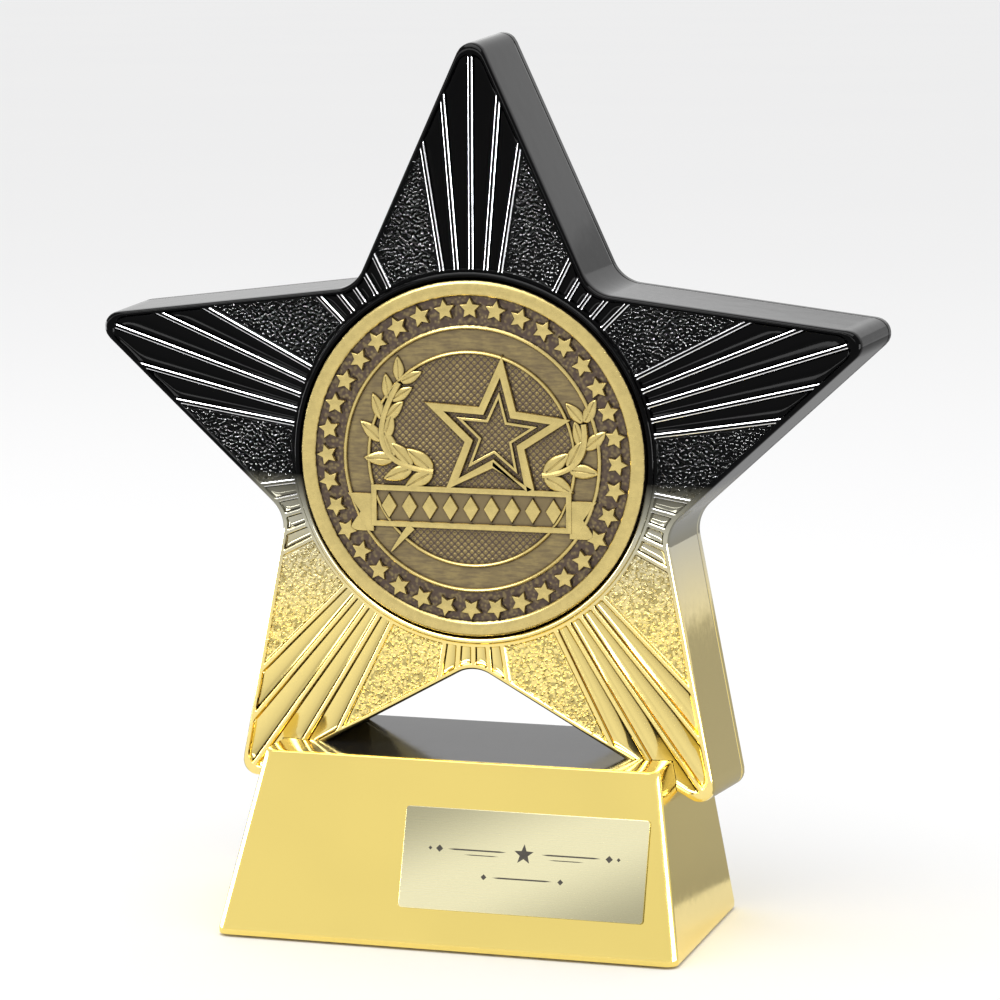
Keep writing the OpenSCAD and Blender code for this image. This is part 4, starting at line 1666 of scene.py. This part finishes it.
@dataclass
class EngravingPlate:
    """The thin metal plate on the sloping front, engraved with a plain ornament."""

    base: Base
    half: tuple = (21.0, 8.5)
    at: tuple = (13.0, 14.2)
    film: float = 0.15
    thick: float = 0.5
    corner: float = 0.6
    line: float = 0.26

    def _on_slope(self, pts: np.ndarray) -> np.ndarray:
        """Takes points from the slope's frame (right, up it, out of it) to the model's.

        Args:
            pts: Points in millimetres.

        Returns:
            Points in metres.
        """
        a = math.radians(90 - self.base.slope)
        x, s, w = pts[:, 0] + self.at[0], pts[:, 1] + self.at[1], pts[:, 2]
        y = -self.base.depth / 2 + s * math.cos(a) - w * math.sin(a)
        z = self.base.lip + s * math.sin(a) + w * math.cos(a)
        return np.stack([x, y, z], 1) * MM

    def build(self, material: bpy.types.Material, ink: bpy.types.Material) -> list[bpy.types.Object]:
        """Builds the plate and its engraving.

        Args:
            material: The sheet metal.
            ink: The dark engraved lines.

        Returns:
            The two pieces.
        """
        hx, hy = self.half
        ring = []
        for sx, sy, start in ((1, -1, -90), (1, 1, 0), (-1, 1, 90), (-1, -1, 180)):
            for i in range(6):
                a = math.radians(start + 18 * i)
                ring.append((sx * (hx - self.corner) + self.corner * math.cos(a),
                             sy * (hy - self.corner) + self.corner * math.sin(a)))
        ring = np.array(ring)
        low, high = self.film, self.film + self.thick
        rows = []
        for by, w in ((1.6, high), (0.16, high), (0.08, high - 0.02), (0.02, high - 0.08), (0.0, high - 0.16),
                      (0.0, low)):
            rows.append(np.column_stack([ring * (1 - by / np.array([hx, hy])), np.full(len(ring), w)]))
        n = len(ring)
        verts, faces = lofted(rows, False, False)
        faces.append(list(range(n)))
        faces.append(list(range((len(rows) - 1) * n, len(rows) * n))[::-1])
        plate = new_piece("engraving_sheet", self._on_slope(verts), faces, Slot.PLATE, material, 30.0)
        even_normals(plate)
        fit_out(plate, ["engraving_plate"])
        return [plate, self._engraving(ink, high)]

    def _engraving(self, ink: bpy.types.Material, high: float) -> bpy.types.Object:
        """Returns the engraved ornament: rules, lozenges and a small star.

        Args:
            ink: The dark lines.
            high: Height of the plate's face.
        """
        h = self.line / 2
        shapes = []

        def bar(x0: float, x1: float, y: float, thick: float) -> None:
            """Adds a pointed rule.

            Args:
                x0: Its left end.
                x1: Its right end.
                y: Its height.
                thick: Half its thickness.
            """
            shapes.append(np.array([[x0, y], [x0 + 1.2, y - thick], [x1 - 1.2, y - thick], [x1, y],
                                    [x1 - 1.2, y + thick], [x0 + 1.2, y + thick]]))

        def gem(x: float, y: float, rx: float, ry: float) -> None:
            """Adds a lozenge.

            Args:
                x: Its centre across.
                y: Its centre up.
                rx: Half its width.
                ry: Half its height.
            """
            shapes.append(np.array([[x + rx, y], [x, y + ry], [x - rx, y], [x, y - ry]]))

        for s in (-1, 1):
            bar(*sorted((s * 3.0, s * 13.2)), 1.7, h)
            bar(*sorted((s * 4.2, s * 10.4)), 0.9, h * 0.6)
            gem(s * 14.6, 1.7, 0.62, 0.62)
            gem(s * 16.2, 1.7, 0.34, 0.34)
        bar(-5.2, 5.2, -2.6, h)
        for x in (-6.6, 6.6):
            gem(x, -2.6, 0.5, 0.5)
        shapes.append(five_point(1.75, 0.42) + np.array([0.0, 1.55]))
        verts, faces = [], []
        for shape in shapes:
            v, f = raised(shape, high - 0.02, high + 0.012, 0.01)
            faces += [[i + len(verts) for i in face] for face in f]
            verts += v.tolist()
        obj = new_piece("engraved_ornament", self._on_slope(np.array(verts)), faces, Slot.PLATE, ink,
                        smooth=False)
        return fit_out(obj)


# ------------------------------------------------------------------ the studio


@dataclass
class Studio:
    """Pale floor, soft boxes and the camera."""

    def floor(self) -> None:
        """Makes the pale floor."""
        n, r = 96, 26.0
        a = np.linspace(0, 2 * math.pi, n, endpoint=False)
        rows = [np.stack([q * np.cos(a), q * np.sin(a), np.zeros(n)], 1) for q in (0.3, 1.0, 4.0, r)]
        verts, faces = lofted(rows, True, False)
        mesh = bpy.data.meshes.new("studio_floor")
        mesh.from_pydata([tuple(v) for v in verts], [], [tuple(f) for f in faces])
        floor = bpy.data.objects.new("studio_floor", mesh)
        bpy.context.scene.collection.objects.link(floor)
        b = Board("studio_paper")
        mesh.materials.append(b.finish(Base_Color=b.mix(b.noise(3, 2), (0.93, 0.93, 0.93),
                                                        (0.915, 0.915, 0.92)), Specular_IOR_Level=0.0,
                                       Roughness=0.9))

    def softbox(self, name: str, at: Sequence[float], aim: Sequence[float], size: tuple, radiance: float,
                shine_on: Sequence[bpy.types.Object] = ()) -> None:
        """Hangs a rectangular soft box.

        Args:
            name: Its name.
            at: Its place in metres.
            aim: The point it faces.
            size: Width and height in metres.
            radiance: Its brightness.
            shine_on: Pieces it shows a reflection on, if it lights nothing else.
        """
        light = bpy.data.lights.new(name, "AREA")
        light.shape = "RECTANGLE"
        light.size, light.size_y = size
        light.energy = radiance * math.pi * size[0] * size[1]
        obj = bpy.data.objects.new(name, light)
        obj.location = at
        obj.rotation_euler = (Vector(at) - Vector(aim)).to_track_quat("Z", "Y").to_euler()
        obj.visible_camera = False
        bpy.context.scene.collection.objects.link(obj)
        if shine_on:
            obj.visible_diffuse = False
            only = bpy.data.collections.new(f"{name}_on")
            for piece in shine_on:
                only.objects.link(piece)
            obj.light_linking.receiver_collection = only

    def grey_sheet(self, radius: float, tone: float) -> None:
        """Lays a half ring of grey on the floor behind the award, seen only in its reflections.

        Args:
            radius: Its radius in metres.
            tone: Its brightness.
        """
        a = np.linspace(0.1, math.pi - 0.1, 40)
        arc = [np.stack([q * np.cos(a), q * np.sin(a), np.full(40, 0.0005)], 1) for q in (0.07, radius)]
        mesh = bpy.data.meshes.new("grey_sheet")
        mesh.from_pydata([tuple(v) for v in np.concatenate(arc)], [],
                         [(i, i + 1, i + 41, i + 40)[::-1] for i in range(39)])
        card = bpy.data.objects.new("grey_sheet", mesh)
        bpy.context.scene.collection.objects.link(card)
        b = Board("grey_sheet")
        mesh.materials.append(b.finish(Base_Color=b.mix(b.noise(9, 2), (tone,) * 3, (0.94 * tone,) * 3),
                                       Specular_IOR_Level=0.0, Roughness=0.9))
        card.visible_camera = card.visible_diffuse = card.visible_shadow = False

    def sky(self) -> None:
        """Makes the even surroundings, a little brighter at the horizon than above."""
        world = bpy.data.worlds.new("surroundings")
        bpy.context.scene.world = world
        world.use_nodes = True
        tree = world.node_tree
        tree.nodes.clear()
        coords = tree.nodes.new("ShaderNodeTexCoord")
        parts = tree.nodes.new("ShaderNodeSeparateXYZ")
        up = tree.nodes.new("ShaderNodeMapRange")
        back = tree.nodes.new("ShaderNodeBackground")
        out = tree.nodes.new("ShaderNodeOutputWorld")
        tree.links.new(coords.outputs["Generated"], parts.inputs[0])
        tree.links.new(parts.outputs[2], up.inputs[0])
        for i, value in ((1, 0.0), (2, 0.5), (3, 0.96), (4, 0.92)):
            up.inputs[i].default_value = value
        back.inputs["Color"].default_value = (1.0, 1.0, 1.0, 1.0)
        tree.links.new(up.outputs[0], back.inputs["Strength"])
        tree.links.new(back.outputs[0], out.inputs[0])

    def camera(self, azimuth: float, elevation: float, roll: float, eye: Sequence[float],
               lens: float) -> None:
        """Sets the camera up.

        Args:
            azimuth: Its direction round the object, in degrees.
            elevation: Its angle above the horizon.
            roll: Its turn about its own axis.
            eye: Its place in metres.
            lens: Focal length in millimetres, on a 36 mm sensor.
        """
        a, e, t = (math.radians(x) for x in (azimuth, elevation, roll))
        back = Vector((math.sin(a) * math.cos(e), -math.cos(a) * math.cos(e), math.sin(e)))
        right = Vector((0, 0, 1)).cross(back).normalized()
        up = back.cross(right)
        right, up = right * math.cos(t) + up * math.sin(t), up * math.cos(t) - right * math.sin(t)
        data = bpy.data.cameras.new("studio_camera")
        data.sensor_width = 36.0
        data.lens = lens
        data.clip_start, data.clip_end = 0.05, 100.0
        cam = bpy.data.objects.new("studio_camera", data)
        bpy.context.scene.collection.objects.link(cam)
        cam.matrix_world = Matrix.Translation(Vector(eye)) @ Matrix((right, up, back)).transposed().to_4x4()
        bpy.context.scene.camera = cam


def dress_fittings(nodes: dict, fade: bpy.types.Material, gold: bpy.types.Material,
                   bronze: bpy.types.Material,
                   satin: bpy.types.Material) -> None:
    """Gives every CAD node its finish, those that a piece replaces included.

    Args:
        nodes: The CAD objects by name.
        fade: The star's plating.
        gold: The base's plating.
        bronze: The medal's metal.
        satin: The plate's metal.
    """
    steel, brass, iron = STEEL.material(), BRASS.material(), IRON.material()
    foam, matt, felt = FOAM.material(), MATT_PLASTIC.material(), FELT_CLOTH.material()
    finishes = {"back_cover_screws": steel, "ballast_screws": steel, "bottom_cover_screws": steel,
                "leg_bolts": steel,
                "leg_washers": steel, "leg_inserts": brass, "base_ballast": iron, "medal_foam_pad": foam,
                "plate_adhesive": foam,
                "base_bottom_cover": matt, "felt_pad": felt, "star_front_shell": fade,
                "star_back_cover": fade,
                "base_shell": gold, "medal": bronze, "engraving_plate": satin}
    for name, obj in nodes.items():
        obj.data.materials.clear()
        obj.data.materials.append(finishes[name])
        LOG.info("%s: finished", name)


def main() -> None:
    """Builds the award, piece by piece."""
    logging.basicConfig(level=logging.INFO, format="%(message)s")
    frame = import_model()
    medal_low, medal_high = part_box("medal")
    place = StarPlace(medal_low.y / MM + 1.0, (medal_low.z + medal_high.z) / 2 / MM)
    base_low, base_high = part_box("base_shell")
    base = Base(width=(base_high.x - base_low.x) / MM, depth=(base_high.y - base_low.y) / MM,
                foot=base_low.z / MM, top=base_high.z / MM)
    plate_low, plate_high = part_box("engraving_plate")
    middle, reach = (plate_low + plate_high) / 2 / MM, (plate_high - plate_low) / 2 / MM
    fade = FadePlating(back_y=place.front_y + 20).material()
    gold = GoldPlating(top_z=base.top).material()
    bronze = AntiqueBronze(place.front_y - 1.0, place.centre_z).material()
    satin = SatinPlate((middle.x, middle.z), (reach.x, reach.z)).material()
    dress_fittings(frame["nodes"], fade, gold, bronze, satin)
    outline = StarOutline()
    front = StarFace(outline, place).build(fade, base.notch("notch_front"))
    pebbles = PanelPebbles(front)
    upper, lower = pebbles.build("pebbles_upper", True, fade), pebbles.build("pebbles_lower", False, fade)
    back = StarBack(outline, place).build(fade, base.notch("notch_back"))
    medal = Medal(place).build(bronze)
    block = base.build(gold)
    EngravingPlate(base).build(satin, ENGRAVED.material())

    studio = Studio()
    studio.floor()
    studio.grey_sheet(SHEET_RADIUS, SHEET_TONE)
    studio.sky()
    studio.softbox("left_strip", (-0.5, 0.03, 0.085), (0.0, 0.0, 0.085), (0.36, 0.16), STRIP,
                   [front, lower, block])
    studio.softbox("right_strip", (0.5, -0.03, 0.085), (0.0, 0.0, 0.085), (0.36, 0.16), STRIP,
                   [front, lower, block])
    studio.softbox("top_card", (0.0, -0.33, 0.6), (0.0, -0.33, 0.0), (0.8, 0.76), 9, [front])
    studio.softbox("left_glint", (-0.5, -0.1, 0.3), (0.0, 0.0, 0.1), (0.3, 0.3), GLINT, [upper])
    studio.softbox("right_glint", (0.5, -0.2, 0.3), (0.0, 0.0, 0.1), (0.3, 0.3), GLINT, [upper])
    studio.softbox("front_band", (-0.35, -0.86, 0.25), (0.0, 0.0, 0.08), (1.5, 0.11), 10,
                   [front, upper, lower])
    studio.softbox("medal_key", (-0.3, -0.35, 0.62), (0.0, 0.0, 0.08), (0.3, 0.3), 9, [medal])
    studio.softbox("back_card", (0.05, 0.45, 0.45), (0.05, 0.0, 0.45), (1.0, 0.5), 0.5, [front, back])
    studio.softbox("top_box", (-0.15, -0.15, 0.9), (0.0, 0.0, 0.05), (0.8, 0.5), 2.0)
    right, ahead, above = CAMERA_EYE
    eye = (right * MM, (place.front_y + ahead) * MM, (place.centre_z + above) * MM)
    studio.camera(*CAMERA_TURN, eye, CAMERA_LENS)
    bpy.context.scene.view_settings.view_transform = "Standard"


if __name__ == "__main__":
    main()
